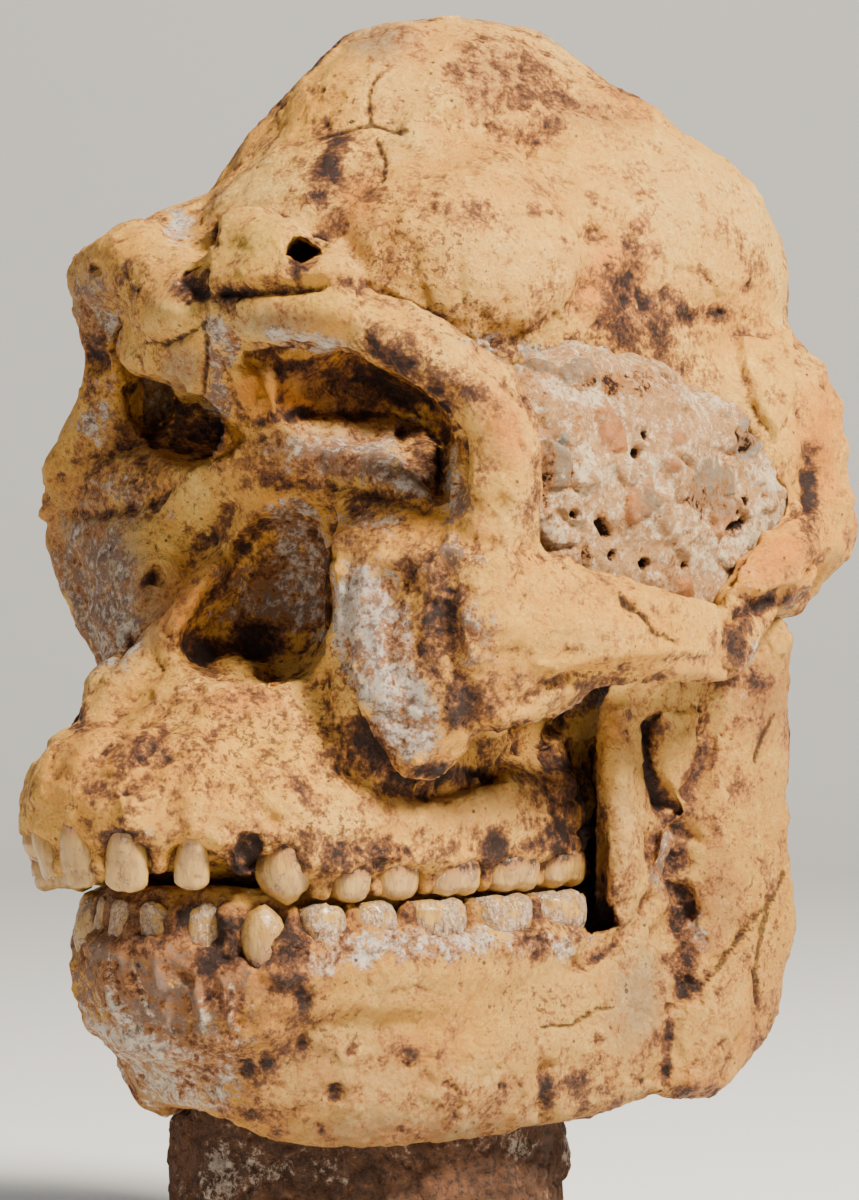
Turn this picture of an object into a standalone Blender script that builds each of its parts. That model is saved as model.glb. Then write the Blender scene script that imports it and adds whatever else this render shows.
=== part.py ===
"""A fossil hominin skull with its jaw closed, cemented by breccia, resting on a cast stand.

The skull faces -Y and its left side is +X. Sizes below are millimetres. Heights of the skull are
counted from the bite, where the tooth rows meet, and object_from() turns them into metres above
the stand's foot, which is at the origin.
"""

import math

import bmesh
import bpy
from mathutils import Euler, Matrix, Vector

MM = 0.001

# Driving dimensions
STAND_HEIGHT = 46.0
JAW_DEPTH = 40.0
BITE_HEIGHT = STAND_HEIGHT + JAW_DEPTH - 4.0
GAP = 0.3

# The rock squeezed the skull: its left side sank and its right side rose, more so higher up.
SINK_START = 28.0
SINK_FULL = 92.0
SINK_SLOPE = 0.15

BONE = (0.72, 0.52, 0.30)
BONE_PALE = (0.74, 0.58, 0.38)
ENAMEL = (0.66, 0.55, 0.33)
BRECCIA = (0.50, 0.36, 0.28)
CAST = (0.36, 0.28, 0.24)

BIG_LUMP = 20.0
CLAY_VOXEL = 0.0015
FINE_VOXEL = 0.0013
STAND_VOXEL = 0.002
CRANIUM_TRIANGLES = 2900
JAW_TRIANGLES = 1080
BRECCIA_TRIANGLES = 200
STAND_TRIANGLES = 420


def clear_scene():
    for obj in list(bpy.data.objects):
        bpy.data.objects.remove(obj, do_unlink=True)


def new_collection(name):
    collection = bpy.data.collections.new(name)
    bpy.context.scene.collection.children.link(collection)
    return collection


def new_material(name, colour, roughness):
    material = bpy.data.materials.new(name)
    material.use_nodes = True
    shader = material.node_tree.nodes["Principled BSDF"]
    shader.inputs["Base Color"].default_value = (*colour, 1.0)
    shader.inputs["Roughness"].default_value = roughness
    return material


def sunk(x, y, z):
    """A point of the symmetric skull, moved to where the rock pressed it."""
    share = min(1.0, max(0.0, (z - SINK_START) / (SINK_FULL - SINK_START)))
    return Vector((x, y, z - SINK_SLOPE * share * x))


def lump(bm, centre, radii, lean=0.0, turn=0.0):
    """One ellipsoid of clay, leaned back about X and turned about Z, in degrees."""
    spin = Euler((math.radians(lean), 0.0, math.radians(turn)))
    matrix = Matrix.LocRotScale(Vector(centre), spin, Vector(radii))
    fineness = 2 if max(radii) < BIG_LUMP else 4
    bmesh.ops.create_icosphere(bm, subdivisions=fineness, radius=1.0, matrix=matrix)


def roll(bm, stations, step=0.5):
    """A roll of clay through stations of (x, y, z, radius x, radius y, radius z)."""
    for start, end in zip(stations, stations[1:]):
        a, b = Vector(start[:3]), Vector(end[:3])
        thin = min(*start[3:], *end[3:])
        count = max(1, math.ceil((b - a).length / (step * thin)))
        for i in range(count + 1):
            t = i / count
            mixed = [(1 - t) * p + t * q for p, q in zip(start, end)]
            lump(bm, mixed[:3], mixed[3:])


def sunk_lump(bm, centre, radii, lean=0.0, turn=0.0):
    lump(bm, sunk(*centre), radii, lean, turn)


def sunk_roll(bm, stations, step=0.5):
    roll(bm, [(*sunk(*s[:3]), *s[3:]) for s in stations], step)


def both_sides(stations):
    """The stations of the left side, then the same on the right."""
    return stations, [(-s[0], *s[1:]) for s in stations]


def object_from(name, bm, collection):
    """Makes an object from a mesh drawn in millimetres from the bite, at its place in metres."""
    bm.transform(Matrix.Translation((0.0, 0.0, BITE_HEIGHT)))
    bm.transform(Matrix.Scale(MM, 4))
    mesh = bpy.data.meshes.new(name)
    bm.to_mesh(mesh)
    bm.free()
    obj = bpy.data.objects.new(name, mesh)
    collection.objects.link(obj)
    return obj


def fuse(obj, voxel):
    modifier = obj.modifiers.new("fuse", "REMESH")
    modifier.mode = "VOXEL"
    modifier.voxel_size = voxel


def smooth(obj, repeats, factor=0.5):
    modifier = obj.modifiers.new("smooth", "SMOOTH")
    modifier.iterations = repeats
    modifier.factor = factor


def cut(obj, cutter):
    modifier = obj.modifiers.new("cut", "BOOLEAN")
    modifier.operation = "DIFFERENCE"
    modifier.object = cutter


def grown(obj, by):
    """A hidden copy of an object, this much larger all round, to cut its seat with."""
    copy = bpy.data.objects.new(obj.name + "_seat", obj.data)
    helpers.objects.link(copy)
    hide(copy)
    modifier = copy.modifiers.new("grow", "DISPLACE")
    modifier.strength = by * MM
    modifier.mid_level = 0.0
    return copy


def hide(obj):
    obj.hide_render = True
    obj.display_type = "WIRE"


def applied(obj):
    """Bakes an object's modifiers into its mesh."""
    graph = bpy.context.evaluated_depsgraph_get()
    mesh = bpy.data.meshes.new_from_object(obj.evaluated_get(graph))
    mesh.name = obj.name
    obj.modifiers.clear()
    obj.data = mesh
    return obj


def thinned(obj, triangles):
    """Takes triangles away where the surface is flat, down to about this many."""
    applied(obj)
    obj.data.calc_loop_triangles()
    modifier = obj.modifiers.new("thin", "DECIMATE")
    modifier.ratio = min(1.0, triangles / len(obj.data.loop_triangles))
    applied(obj)


def without_crumbs(obj):
    """Keeps only the largest of the bodies that a cut left."""
    bm = bmesh.new()
    bm.from_mesh(obj.data)
    bodies = []
    unseen = set(bm.verts)
    while unseen:
        body = set()
        edge_of_body = [unseen.pop()]
        while edge_of_body:
            vert = edge_of_body.pop()
            body.add(vert)
            for edge in vert.link_edges:
                other = edge.other_vert(vert)
                if other in unseen:
                    unseen.remove(other)
                    edge_of_body.append(other)
        bodies.append(body)
    largest = max(bodies, key=len)
    crumbs = [vert for body in bodies if body is not largest for vert in body]
    bmesh.ops.delete(bm, geom=crumbs, context="VERTS")
    bm.to_mesh(obj.data)
    bm.free()


# Cranium: braincase, brow, cheekbones, upper jaw and skull base, grown together as one bone.


def braincase_clay(bm):
    # Vault and its raised top
    lump(bm, (0, 14, 95), (46, 66, 45))
    lump(bm, (-1, 10, 120), (30, 43, 32))
    lump(bm, (-6, -5, 144), (9, 9, 6))
    # Forehead, swollen on its left, drawn out to the brow on its right
    sunk_lump(bm, (0, -24, 104), (34, 28, 16), lean=40)
    lump(bm, (14, -13, 100), (30, 33, 27))
    lump(bm, (-13, -5, 112), (22, 30, 27))
    lump(bm, (-25, -28, 105), (15, 18, 14))
    lump(bm, (-28, -34, 105), (12, 12, 12))
    # Side walls
    lump(bm, (20, 28, 104), (28, 36, 29))
    lump(bm, (15, 19, 110), (26, 35, 31))
    lump(bm, (-18, 26, 106), (28, 34, 27))
    for side in (1, -1):
        sunk_lump(bm, (34 * side, 16, 74), (15, 30, 24))
        sunk_lump(bm, (32 * side, 38, 78), (25, 26, 28))
        sunk_lump(bm, (44 * side, 42, 66), (15, 18, 14))
        sunk_lump(bm, (45 * side, 41, 55), (8, 10, 9))
        sunk_lump(bm, (18 * side, 54, 84), (22, 22, 24))
    # Back and base
    sunk_lump(bm, (0, 58, 76), (38, 30, 26))
    sunk_lump(bm, (0, 20, 58), (34, 48, 18))
    # Core of the face, behind the eye sockets
    sunk_lump(bm, (0, -26, 72), (36, 22, 22))
    sunk_lump(bm, (0, -20, 54), (26, 26, 20))
    sunk_lump(bm, (0, 10, 44), (13, 20, 10))


LEFT_BROW = [
    (0, -57, 95, 8, 7, 8),
    (14, -58, 98, 9, 7, 7),
    (30, -56, 98, 8, 7, 6),
    (41, -51, 95, 7, 7, 6.5),
    (47, -45, 89, 8, 8, 7.5),
    (49, -42, 80, 8.5, 8, 8),
    (49, -42, 68, 8.5, 8, 8),
    (48, -42, 58, 8, 8, 8),
]
RIGHT_BROW = [
    (0, -57, 95, 8, 7, 8),
    (-10, -55, 97, 8, 7, 8),
    (-25, -48, 102, 9, 8, 8.5),
    (-38, -43, 98, 7, 7, 8),
    (-37, -41, 86, 5.5, 6, 8),
    (-38, -41, 76, 6, 6, 8),
    (-46, -41, 66, 7, 7, 8),
    (-47.5, -39, 56, 7, 7, 8),
]


def brow_clay(bm):
    sunk_roll(bm, LEFT_BROW)
    sunk_roll(bm, RIGHT_BROW)
    # Broken plate of the forehead that stands up over the left brow
    roll(bm, [(6, -54, 103, 7, 6, 9), (17, -56, 101, 7, 6, 8), (28, -56, 97, 6, 6, 5)])
    # Bridge of the nose, crushed inwards
    sunk_roll(bm, [(-2, -53, 92, 10, 9, 8), (-1, -48, 80, 8, 8, 8), (2, -44, 68, 18, 10, 10)])
    sunk_roll(bm, [(-8, -55, 94, 8, 7, 7), (-10, -54, 87, 7, 6, 6), (-22, -48, 88, 8, 6, 6)])
    # Rock in the floor of the two eye sockets
    for side in (1, -1):
        sunk_roll(bm, [(8 * side, -41, 66, 10, 12, 11), (38 * side, -36, 64, 10, 12, 10)])


def cheek_clay(bm):
    left_cheek = [
        (47, -42, 58, 8, 8, 8),
        (43, -45, 48, 13, 8, 11),
        (38, -46, 38, 13, 8, 11),
        (35, -46, 28, 10, 8, 9),
    ]
    left_plate = [
        (26, -48, 58, 9, 7, 8),
        (29, -49, 48, 9, 8, 12),
        (32, -50, 36, 11, 8, 11),
    ]
    left_wedge = [(48, -38, 44, 7, 8, 10), (47, -37, 34, 7, 7, 8), (52, -30, 38, 5, 7, 8)]
    left_rim = [(18, -48, 60, 8, 7, 6), (32, -48, 58, 9, 7, 6), (44, -45, 58, 8, 7, 6)]
    right_cheek = [
        (-47.5, -39, 56, 7, 7, 8),
        (-44, -38, 47, 7, 7, 8),
        (-34, -38, 38, 8, 8, 8),
        (-27, -40, 30, 8, 8, 8),
    ]
    right_plate = [
        (-44, -39, 60, 6, 7, 9),
        (-32, -43, 56, 9, 8, 10),
        (-18, -48, 52, 8, 8, 12),
        (-15, -52, 40, 8, 8, 10),
    ]
    right_wall = [(-32, -40, 48, 9, 8, 12), (-24, -46, 38, 9, 8, 10)]
    left = (left_cheek, left_plate, left_wedge, left_rim)
    for stations in (*left, right_cheek, right_plate, right_wall):
        sunk_roll(bm, stations)
    left_arch = [
        (50, -38, 50, 7, 8, 10),
        (57, -26, 47, 4.5, 7, 10.5),
        (61, -10, 44, 4, 7, 8.5),
        (61, 4, 43, 4, 7, 7),
    ]
    right_arch = [
        (-45, -36, 50, 7, 8, 9),
        (-53, -26, 47, 4.5, 7, 9),
        (-59, -10, 44, 4, 7, 8),
        (-61, 4, 43, 4, 7, 7),
    ]
    root = [
        (61, 4, 43, 4, 7, 7),
        (57, 14, 46, 4.5, 6, 6),
        (55, 20, 54, 6, 8, 7),
        (53, 30, 58, 8, 9, 8),
        (46, 36, 56, 8, 8, 8),
    ]
    for stations in (left_arch, right_arch, *both_sides(root)):
        sunk_roll(bm, stations)


# The rows of teeth run straight back behind this distance from the origin, and bend round before it
ARCH_BEND = 50.0

# Where each upper tooth stands: x and y of its middle.
UPPER_LEFT = {
    "incisor_1": (7, -83),
    "incisor_2": (15, -76.5),
    "canine": (23, -63.5),
    "premolar_1": (27, -54),
    "premolar_2": (29, -45.5),
    "molar_1": (31, -34.5),
    "molar_2": (32, -21),
    "molar_3": (32, -8),
}
UPPER_RIGHT = {
    "incisor_1": (-1.5, -85),
    "incisor_2": (-9.5, -83.5),
    "canine": (-17, -76),
    "premolar_1": (-24, -66),
    "premolar_2": (-27, -56.5),
    "molar_1": (-30, -45),
    "molar_2": (-32, -31.5),
    "molar_3": (-32, -18),
}
LOWER_LEFT = {
    "incisor_1": (6, -75.5),
    "incisor_2": (13, -71.5),
    "canine": (21, -66.5),
    "premolar_1": (25, -58),
    "premolar_2": (28, -49.5),
    "molar_1": (31, -38),
    "molar_2": (33, -24),
    "molar_3": (34, -10.5),
}
LOWER_RIGHT = {
    "incisor_1": (-0.5, -76.0),
    "incisor_2": (-6.8, -73.5),
    "canine": (-12.2, -69),
    "premolar_1": (-17.5, -61.5),
    "premolar_2": (-22.5, -54.5),
    "molar_1": (-28, -45),
    "molar_2": (-31, -33),
    "molar_3": (-33, -20),
}


def set_in(x, y, depth):
    """A tooth's place moved this far into the mouth."""
    outward = Vector((x, min(0.0, y + ARCH_BEND))).normalized()
    return x - depth * outward.x, y - depth * outward.y


def arch_of(left, right):
    """Each tooth's kind and place round the whole arch, from the last left molar to the last right one."""
    return [*reversed(left.items()), *right.items()]


def upper_jaw_clay(bm):
    lump(bm, (0, -38, 34), (27, 24, 26))
    lump(bm, (0, -20, 20), (26, 30, 22))
    lump(bm, (3, -57, 22), (22, 17, 16))
    lump(bm, (-1, -64, 16), (19, 15, 12))
    lump(bm, (-13, -67, 21), (9, 10, 10))
    lump(bm, (-15, -60, 31), (9, 9, 9))
    lump(bm, (4, -54, 30), (18, 14, 10))
    # The sockets' wall, set in from the outer face of the teeth
    for kind, place in arch_of(UPPER_LEFT, UPPER_RIGHT):
        flush = 7.0 - 0.45 * TOOTH_SIZES[kind][0]
        lump(bm, (*set_in(*place, flush), 10.5), (7, 7, 5))
        lump(bm, (*set_in(*place, flush + 1.0), 16), (7.5, 7.5, 7))
        lump(bm, (*set_in(*place, flush + 2.5), 21), (7.5, 7.5, 8))
    # Breccia that fills the palate down to the bite, and the space behind the last molars
    lump(bm, (0, -42, 10), (24, 34, 10))
    for side in (1, -1):
        lump(bm, (20 * side, 4, 26), (13, 22, 28))


def cranium_hollows(bm):
    # Eye sockets: a shallow bowl over the rock, and a deep pocket under the brow
    sunk_lump(bm, (27, -57, 77), (19, 13, 15))
    sunk_lump(bm, (26, -46, 84), (18, 18, 8))
    sunk_lump(bm, (39, -46, 78), (6, 13, 10))
    sunk_lump(bm, (-13, -54, 77), (13, 12, 7.5))
    sunk_lump(bm, (-8, -50, 76), (10, 10, 6.5))
    sunk_lump(bm, (-14, -46, 77), (13, 18, 6))
    for side in (1, -1):
        # Behind the brow and the cheekbone, where the chewing muscle passed
        sunk_lump(bm, (54 * side, -18, 84), (12, 18, 24))
        sunk_lump(bm, (49 * side, -8, 56), (8, 22, 22))
        sunk_lump(bm, (45 * side, -14, 26), (9, 26, 18))
    # Nose opening
    nose = [(10, -57, 42, 14, 15, 8), (12, -55, 50, 12, 15, 8), (15, -53, 59, 7, 13, 6)]
    roll(bm, nose)
    # Hole for the spinal cord
    lump(bm, (0, 34, 38), (12, 15, 12))


# Hole bored down into the plate over the left brow: its mouth, width, depth and turn to the left
PLATE_HOLE = (24, -59.5, 103.2)
HOLE_WIDTH = 4.0
HOLE_DEPTH = 8.0
HOLE_TURN = 38.0


def plate_hole():
    bm = bmesh.new()
    spin = Euler((math.radians(90.0), 0.0, math.radians(HOLE_TURN)))
    bmesh.ops.create_cone(
        bm,
        cap_ends=True,
        segments=12,
        radius1=HOLE_WIDTH / 2,
        radius2=HOLE_WIDTH / 2,
        depth=2 * HOLE_DEPTH,
        matrix=Matrix.LocRotScale(Vector(PLATE_HOLE), spin, None),
    )
    hole = object_from("plate_hole", bm, helpers)
    hide(hole)
    return hole


def make_cranium():
    bm = bmesh.new()
    braincase_clay(bm)
    brow_clay(bm)
    cheek_clay(bm)
    upper_jaw_clay(bm)
    cranium = object_from("cranium", bm, skull)

    bm = bmesh.new()
    cranium_hollows(bm)
    hollows = object_from("cranium_hollows", bm, helpers)
    fuse(hollows, CLAY_VOXEL)
    hide(hollows)

    fuse(cranium, CLAY_VOXEL)
    cut(cranium, hollows)
    fuse(cranium, FINE_VOXEL)
    smooth(cranium, 8)
    return cranium


# Jaw: body, chin and the two rami.


def jaw_clay(bm):
    body = [
        (44, 16, -20, 7, 8, 15),
        (38, -4, -23, 8, 8, 17),
        (33, -22, -24, 8.5, 8, 17),
        (29, -38, -25, 9, 8, 17),
        (23, -50, -25, 9, 8, 17),
        (13, -58, -24, 9, 9, 16),
        (2, -60, -22, 9, 9, 15),
        (-10, -57, -22, 9, 9, 15),
        (-19, -48, -24, 9, 8, 16),
        (-27, -36, -24, 9, 8, 17),
        (-33, -22, -24, 8.5, 8, 17),
        (-38, -4, -23, 8, 8, 17),
        (-44, 16, -20, 7, 8, 15),
    ]
    roll(bm, body)
    for kind, place in arch_of(LOWER_LEFT, LOWER_RIGHT):
        flush = 6.5 - 0.42 * TOOTH_SIZES[kind][0]
        lump(bm, (*set_in(*place, flush), -12), (6.5, 6.5, 5))
        lump(bm, (*set_in(*place, flush + 1.5), -19), (7, 7, 8))
    ramus_edge = [(41, 1, -10, 4, 5, 9), (43, -2, 6, 3.5, 4.5, 9), (45, -6, 26, 3, 4, 9)]
    ramus = [
        (46, 23, -25, 5, 16, 10),
        (48, 27, -6, 4.5, 15, 12),
        (49, 27, 12, 4, 13, 12),
        (49, 29, 30, 4, 11, 12),
    ]
    # Rock between the splinter of the front edge and the rest of the ramus
    fill = [(42, 8, -8, 3, 9, 10), (43, 9, 8, 4, 11, 10), (44, 7, 24, 4, 13, 9), (45, 8, 36, 4, 13, 7)]
    for part in (ramus_edge, ramus, fill):
        for stations in both_sides(part):
            roll(bm, stations)
    # Condyles, up to the skull's base; the right one is higher, as its side rose
    for x, top in ((49, 40), (-49, 47)):
        roll(bm, [(x, 29, 26, 4, 9, 10), (x, 31, top, 7, 6, 7)])
    for side in (1, -1):
        lump(bm, (45 * side, 17, -31), (5, 13, 7.5))
        lump(bm, (22 * side, 3, -5), (15, 15, 9))
    # Breccia that fills the mouth up to the bite
    lump(bm, (0, -34, -12), (26, 34, 11))


def make_jaw():
    bm = bmesh.new()
    jaw_clay(bm)
    jaw = object_from("jaw", bm, skull)
    fuse(jaw, CLAY_VOXEL)
    smooth(jaw, 6)
    return jaw


def make_breccia(side, name):
    """The rock that fills the hollow behind one cheekbone."""
    bm = bmesh.new()
    sunk_roll(
        bm,
        [
            (42 * side, -33, 77, 7, 7, 13),
            (45 * side, -20, 77, 9, 12, 19),
            (46 * side, -2, 73, 10, 15, 21),
            (46 * side, 16, 71, 9, 14, 18),
            (46 * side, 32, 68, 8, 12, 13),
        ],
    )
    # Down to the upper edge of the cheek's arch
    sunk_roll(bm, [(44 * side, -18, 62, 9, 12, 14), (45 * side, 0, 58, 9, 14, 14), (45 * side, 16, 58, 9, 11, 12)])
    rock = object_from(name, bm, skull)
    fuse(rock, CLAY_VOXEL)
    smooth(rock, 4)
    thinned(rock, BRECCIA_TRIANGLES)
    return rock


# Teeth: crown and the neck that sits in the socket.

# Across the row, along the row, crown height, neck length
TOOTH_SIZES = {
    "incisor_1": (7.0, 8.0, 10.0, 5.0),
    "incisor_2": (7.0, 6.6, 9.0, 5.0),
    "canine": (9.5, 9.0, 10.0, 4.0),
    "premolar_1": (11.0, 8.2, 8.0, 4.0),
    "premolar_2": (11.5, 8.6, 7.8, 4.0),
    "molar_1": (13.0, 11.7, 6.5, 4.0),
    "molar_2": (14.0, 12.4, 6.5, 4.0),
    "molar_3": (13.5, 12.2, 6.5, 4.0),
}
# The lower front teeth are narrower than the upper ones
LOWER_FRONT_SHARE = {"incisor_1": 0.74, "incisor_2": 0.88, "canine": 0.84}
# Heights of the tips of the upper front teeth, which are worn or broken short of the bite
SHORT_TIPS = {
    "upper_left_incisor_1": 2.5,
    "upper_left_incisor_2": 2.8,
    "upper_right_incisor_1": 2.8,
    "upper_right_incisor_2": 3.6,
    "upper_right_canine": 5.5,
}
TOOTH_SIDES = 8
BITE_CLEARANCE = 0.2


def tooth_angles(places):
    """How each tooth of one side is turned about Z, so that it faces out of the arch."""
    points = [Vector(p) for p in places.values()]
    angles = []
    for i, _ in enumerate(points):
        along = points[min(i + 1, len(points) - 1)] - points[max(i - 1, 0)]
        angles.append(math.atan2(along.y, along.x))
    return angles


def make_tooth(name, kind, place, angle, up):
    """A tooth as rings from its worn tip to its neck. up is 1 for an upper tooth, whose neck is above."""
    across, along, crown, neck = TOOTH_SIZES[kind]
    if up < 0:
        along *= LOWER_FRONT_SHARE.get(kind, 1.0)
    tip_share = 0.45 if kind == "canine" else 0.75
    tip_across = 0.3 if "incisor" in kind else tip_share
    tip = SHORT_TIPS.get(name, BITE_CLEARANCE)
    rings = [
        (tip, tip_across, tip_share),
        (tip + 0.55 * (crown - tip), 1.0, 1.0),
        (crown, 0.8, 0.85),
        (crown + neck, 0.55, 0.6),
    ]
    bm = bmesh.new()
    loops = []
    for height, across_share, along_share in rings:
        loop = []
        for i in range(TOOTH_SIDES):
            t = 2 * math.pi * i / TOOTH_SIDES
            loop.append(
                bm.verts.new(
                    (
                        0.5 * along * along_share * math.cos(t),
                        0.5 * across * across_share * math.sin(t),
                        up * height,
                    )
                )
            )
        loops.append(loop)
    for low, high in zip(loops, loops[1:]):
        for i in range(TOOTH_SIDES):
            j = (i + 1) % TOOTH_SIDES
            bm.faces.new((low[i], low[j], high[j], high[i]))
    bm.faces.new(loops[0])
    bm.faces.new(loops[-1])
    bmesh.ops.recalc_face_normals(bm, faces=bm.faces)
    bm.transform(Matrix.Translation((place[0], place[1], 0.0)) @ Matrix.Rotation(angle, 4, "Z"))
    return object_from(name, bm, skull)


def make_teeth(row, left, right, up):
    teeth = []
    for side, places in (("left", left), ("right", right)):
        for (kind, place), angle in zip(places.items(), tooth_angles(places)):
            name = f"{row}_{side}_{kind}"
            teeth.append(make_tooth(name, kind, place, angle, up))
    return teeth


# Stand: a rough cast post with a flat foot, hollowed on top to hold the jaw.


def make_stand():
    foot = -BITE_HEIGHT
    bm = bmesh.new()
    roll(
        bm,
        [
            (0, 0, foot + 4, 48, 50, 8),
            (-1, -6, foot + 13, 39, 42, 8),
            (-2, -15, foot + 24, 34, 35, 9),
            (-2, -15, foot + 44, 34, 34, 8),
        ],
    )
    # Flake at the edge of its top
    lump(bm, (24.5, 6.5, foot + 35), (3.5, 3.5, 4.5))
    stand = object_from("stand", bm, skull)
    fuse(stand, STAND_VOXEL)
    smooth(stand, 8)

    bm = bmesh.new()
    below = Matrix.LocRotScale(Vector((0, 0, foot - 25)), None, Vector((300, 300, 50)))
    bmesh.ops.create_cube(bm, size=1.0, matrix=below)
    floor = object_from("floor_cutter", bm, helpers)
    hide(floor)
    thinned(stand, STAND_TRIANGLES)
    cut(stand, floor)
    return stand


clear_scene()
skull = new_collection("fossil_hominin_skull")
helpers = new_collection("helpers")

cranium = make_cranium()
jaw = make_jaw()
stand = make_stand()
temples = [make_breccia(1, "breccia_left_temple"), make_breccia(-1, "breccia_right_temple")]
upper_teeth = make_teeth("upper", UPPER_LEFT, UPPER_RIGHT, 1)
lower_teeth = make_teeth("lower", LOWER_LEFT, LOWER_RIGHT, -1)

thinned(cranium, CRANIUM_TRIANGLES)
thinned(jaw, JAW_TRIANGLES)
seats = {piece: grown(piece, GAP) for piece in [cranium, jaw, *temples, *upper_teeth, *lower_teeth]}

for piece in temples + upper_teeth:
    cut(cranium, seats[piece])
cut(cranium, plate_hole())
for piece in [cranium, *temples, *upper_teeth, *lower_teeth]:
    cut(jaw, seats[piece])
cut(stand, seats[jaw])
for piece in (cranium, jaw, stand):
    applied(piece)
    without_crumbs(piece)

finishes = {
    "cranium": new_material("fossil_bone", BONE, 0.6),
    "jaw": new_material("pale_fossil_bone", BONE_PALE, 0.6),
    "breccia": new_material("breccia", BRECCIA, 0.9),
    "stand": new_material("cast_stand", CAST, 0.85),
}
enamel = new_material("enamel", ENAMEL, 0.3)
for piece in skull.objects:
    finish = finishes.get(piece.name.split("_")[0], enamel)
    piece.data.materials.clear()
    piece.data.materials.append(finish)
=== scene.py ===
import math

import bmesh
import bpy
import numpy as np
from mathutils import Matrix, Vector
from mathutils.bvhtree import BVHTree


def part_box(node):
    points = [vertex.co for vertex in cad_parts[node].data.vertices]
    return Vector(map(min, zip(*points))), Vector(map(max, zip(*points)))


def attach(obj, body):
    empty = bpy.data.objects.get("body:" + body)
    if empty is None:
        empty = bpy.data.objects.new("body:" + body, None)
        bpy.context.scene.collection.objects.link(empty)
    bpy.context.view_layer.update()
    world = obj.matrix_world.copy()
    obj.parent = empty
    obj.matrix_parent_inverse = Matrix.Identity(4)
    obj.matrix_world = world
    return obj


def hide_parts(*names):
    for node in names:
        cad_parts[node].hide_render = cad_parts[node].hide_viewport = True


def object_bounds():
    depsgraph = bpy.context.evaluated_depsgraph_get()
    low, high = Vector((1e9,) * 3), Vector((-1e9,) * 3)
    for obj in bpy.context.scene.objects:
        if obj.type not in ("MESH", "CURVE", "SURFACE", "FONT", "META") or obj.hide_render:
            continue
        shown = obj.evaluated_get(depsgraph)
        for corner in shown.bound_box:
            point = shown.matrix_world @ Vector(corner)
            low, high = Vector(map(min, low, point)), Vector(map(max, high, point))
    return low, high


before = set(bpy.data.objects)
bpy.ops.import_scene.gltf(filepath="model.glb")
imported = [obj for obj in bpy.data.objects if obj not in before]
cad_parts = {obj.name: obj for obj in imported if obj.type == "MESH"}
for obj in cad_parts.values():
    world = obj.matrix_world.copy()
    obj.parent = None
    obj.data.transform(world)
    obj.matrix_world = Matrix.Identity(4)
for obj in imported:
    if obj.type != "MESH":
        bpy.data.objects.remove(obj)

cad_box = [list(corner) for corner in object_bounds()]


# The view.
# The skull is seen from its left front, level with the cheeks, from 0.7 m away. Marks that belong
# at one spot of the real piece are aimed along this view onto the solid pieces.

BITE_HEIGHT = 82.0
VIEW_TURN = math.radians(40.0)
VIEW_DISTANCE = 700.0
VIEW_HEIGHT = 48.4
PHOTO_WIDTH, PHOTO_HEIGHT = 859, 1200
FOCAL_PIXELS = 3990.0
SENSOR = 36.0

toward_camera = Vector((math.sin(VIEW_TURN), -math.cos(VIEW_TURN), 0.0))
photo_right = Vector((math.cos(VIEW_TURN), math.sin(VIEW_TURN), 0.0))
looked_at = Vector((0.0, 0.0, BITE_HEIGHT + VIEW_HEIGHT)) / 1000.0
eye = looked_at + toward_camera * VIEW_DISTANCE / 1000.0

camera = bpy.data.objects.new("camera", bpy.data.cameras.new("camera"))
camera.data.sensor_width = SENSOR
camera.data.lens = FOCAL_PIXELS * SENSOR / PHOTO_HEIGHT
camera.location = eye
camera.rotation_mode = "QUATERNION"
camera.rotation_quaternion = (-toward_camera).to_track_quat("-Z", "Y")
bpy.context.scene.collection.objects.link(camera)
bpy.context.scene.camera = camera


# Stand.
# A rough post cast in plaster and stone dust round the foot of the specimen, brown with a white
# crust. Its top was pressed to the jaw while soft, and its foot was rubbed flat.


def in_scene(name, mesh):
    piece = bpy.data.objects.new(name, mesh)
    bpy.context.scene.collection.objects.link(piece)
    return piece


def random_of(cells, seed):
    """A number from 0 to 1 for each whole-numbered cell, always the same."""
    x, y, z = (cells[:, k].astype(np.int64) for k in range(3))
    mixed = (x * 73856093) ^ (y * 19349663) ^ (z * 83492791) ^ (seed * 2654435761)
    mixed = (mixed ^ (mixed >> 13)) * 1274126177
    mixed ^= mixed >> 16
    return (mixed & 0xFFFFFF) / float(0xFFFFFF)


def cloud(points, size, seed, octaves=4):
    """Soft noise from 0 to 1 with lumps of this size in millimetres and finer ones on them."""
    total, weight = np.zeros(len(points)), 0.0
    for octave in range(octaves):
        share = 0.55 ** octave
        spot = points / (size * 0.5 ** octave) + 17.3 * octave
        cell = np.floor(spot)
        part = spot - cell
        part = part * part * (3.0 - 2.0 * part)
        value = np.zeros(len(points))
        for corner in np.ndindex(2, 2, 2):
            nearness = np.prod(np.where(np.array(corner), part, 1.0 - part), axis=1)
            value += nearness * random_of(cell + corner, seed + octave)
        total += share * value
        weight += share
    return total / weight


def pebbles(points, size, seed):
    """Distance to the nearest and second nearest of scattered seeds, and a number for the nearest."""
    spot = points / size
    home = np.floor(spot)
    first = np.full(len(points), 9.0)
    second = first.copy()
    label = np.zeros(len(points))
    for step in np.ndindex(3, 3, 3):
        cell = home + step - 1.0
        centre = cell + np.stack([random_of(cell, seed + k) for k in range(3)], axis=1)
        distance = np.linalg.norm(spot - centre, axis=1)
        closer = distance < first
        second = np.where(closer, first, np.minimum(second, distance))
        label = np.where(closer, random_of(cell, seed + 7), label)
        first = np.where(closer, distance, first)
    return first * size, second * size, label


def eased(value, low, high):
    share = np.clip((value - low) / (high - low), 0.0, 1.0)
    return share * share * (3.0 - 2.0 * share)


MOST_TRIANGLES = 190000


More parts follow.
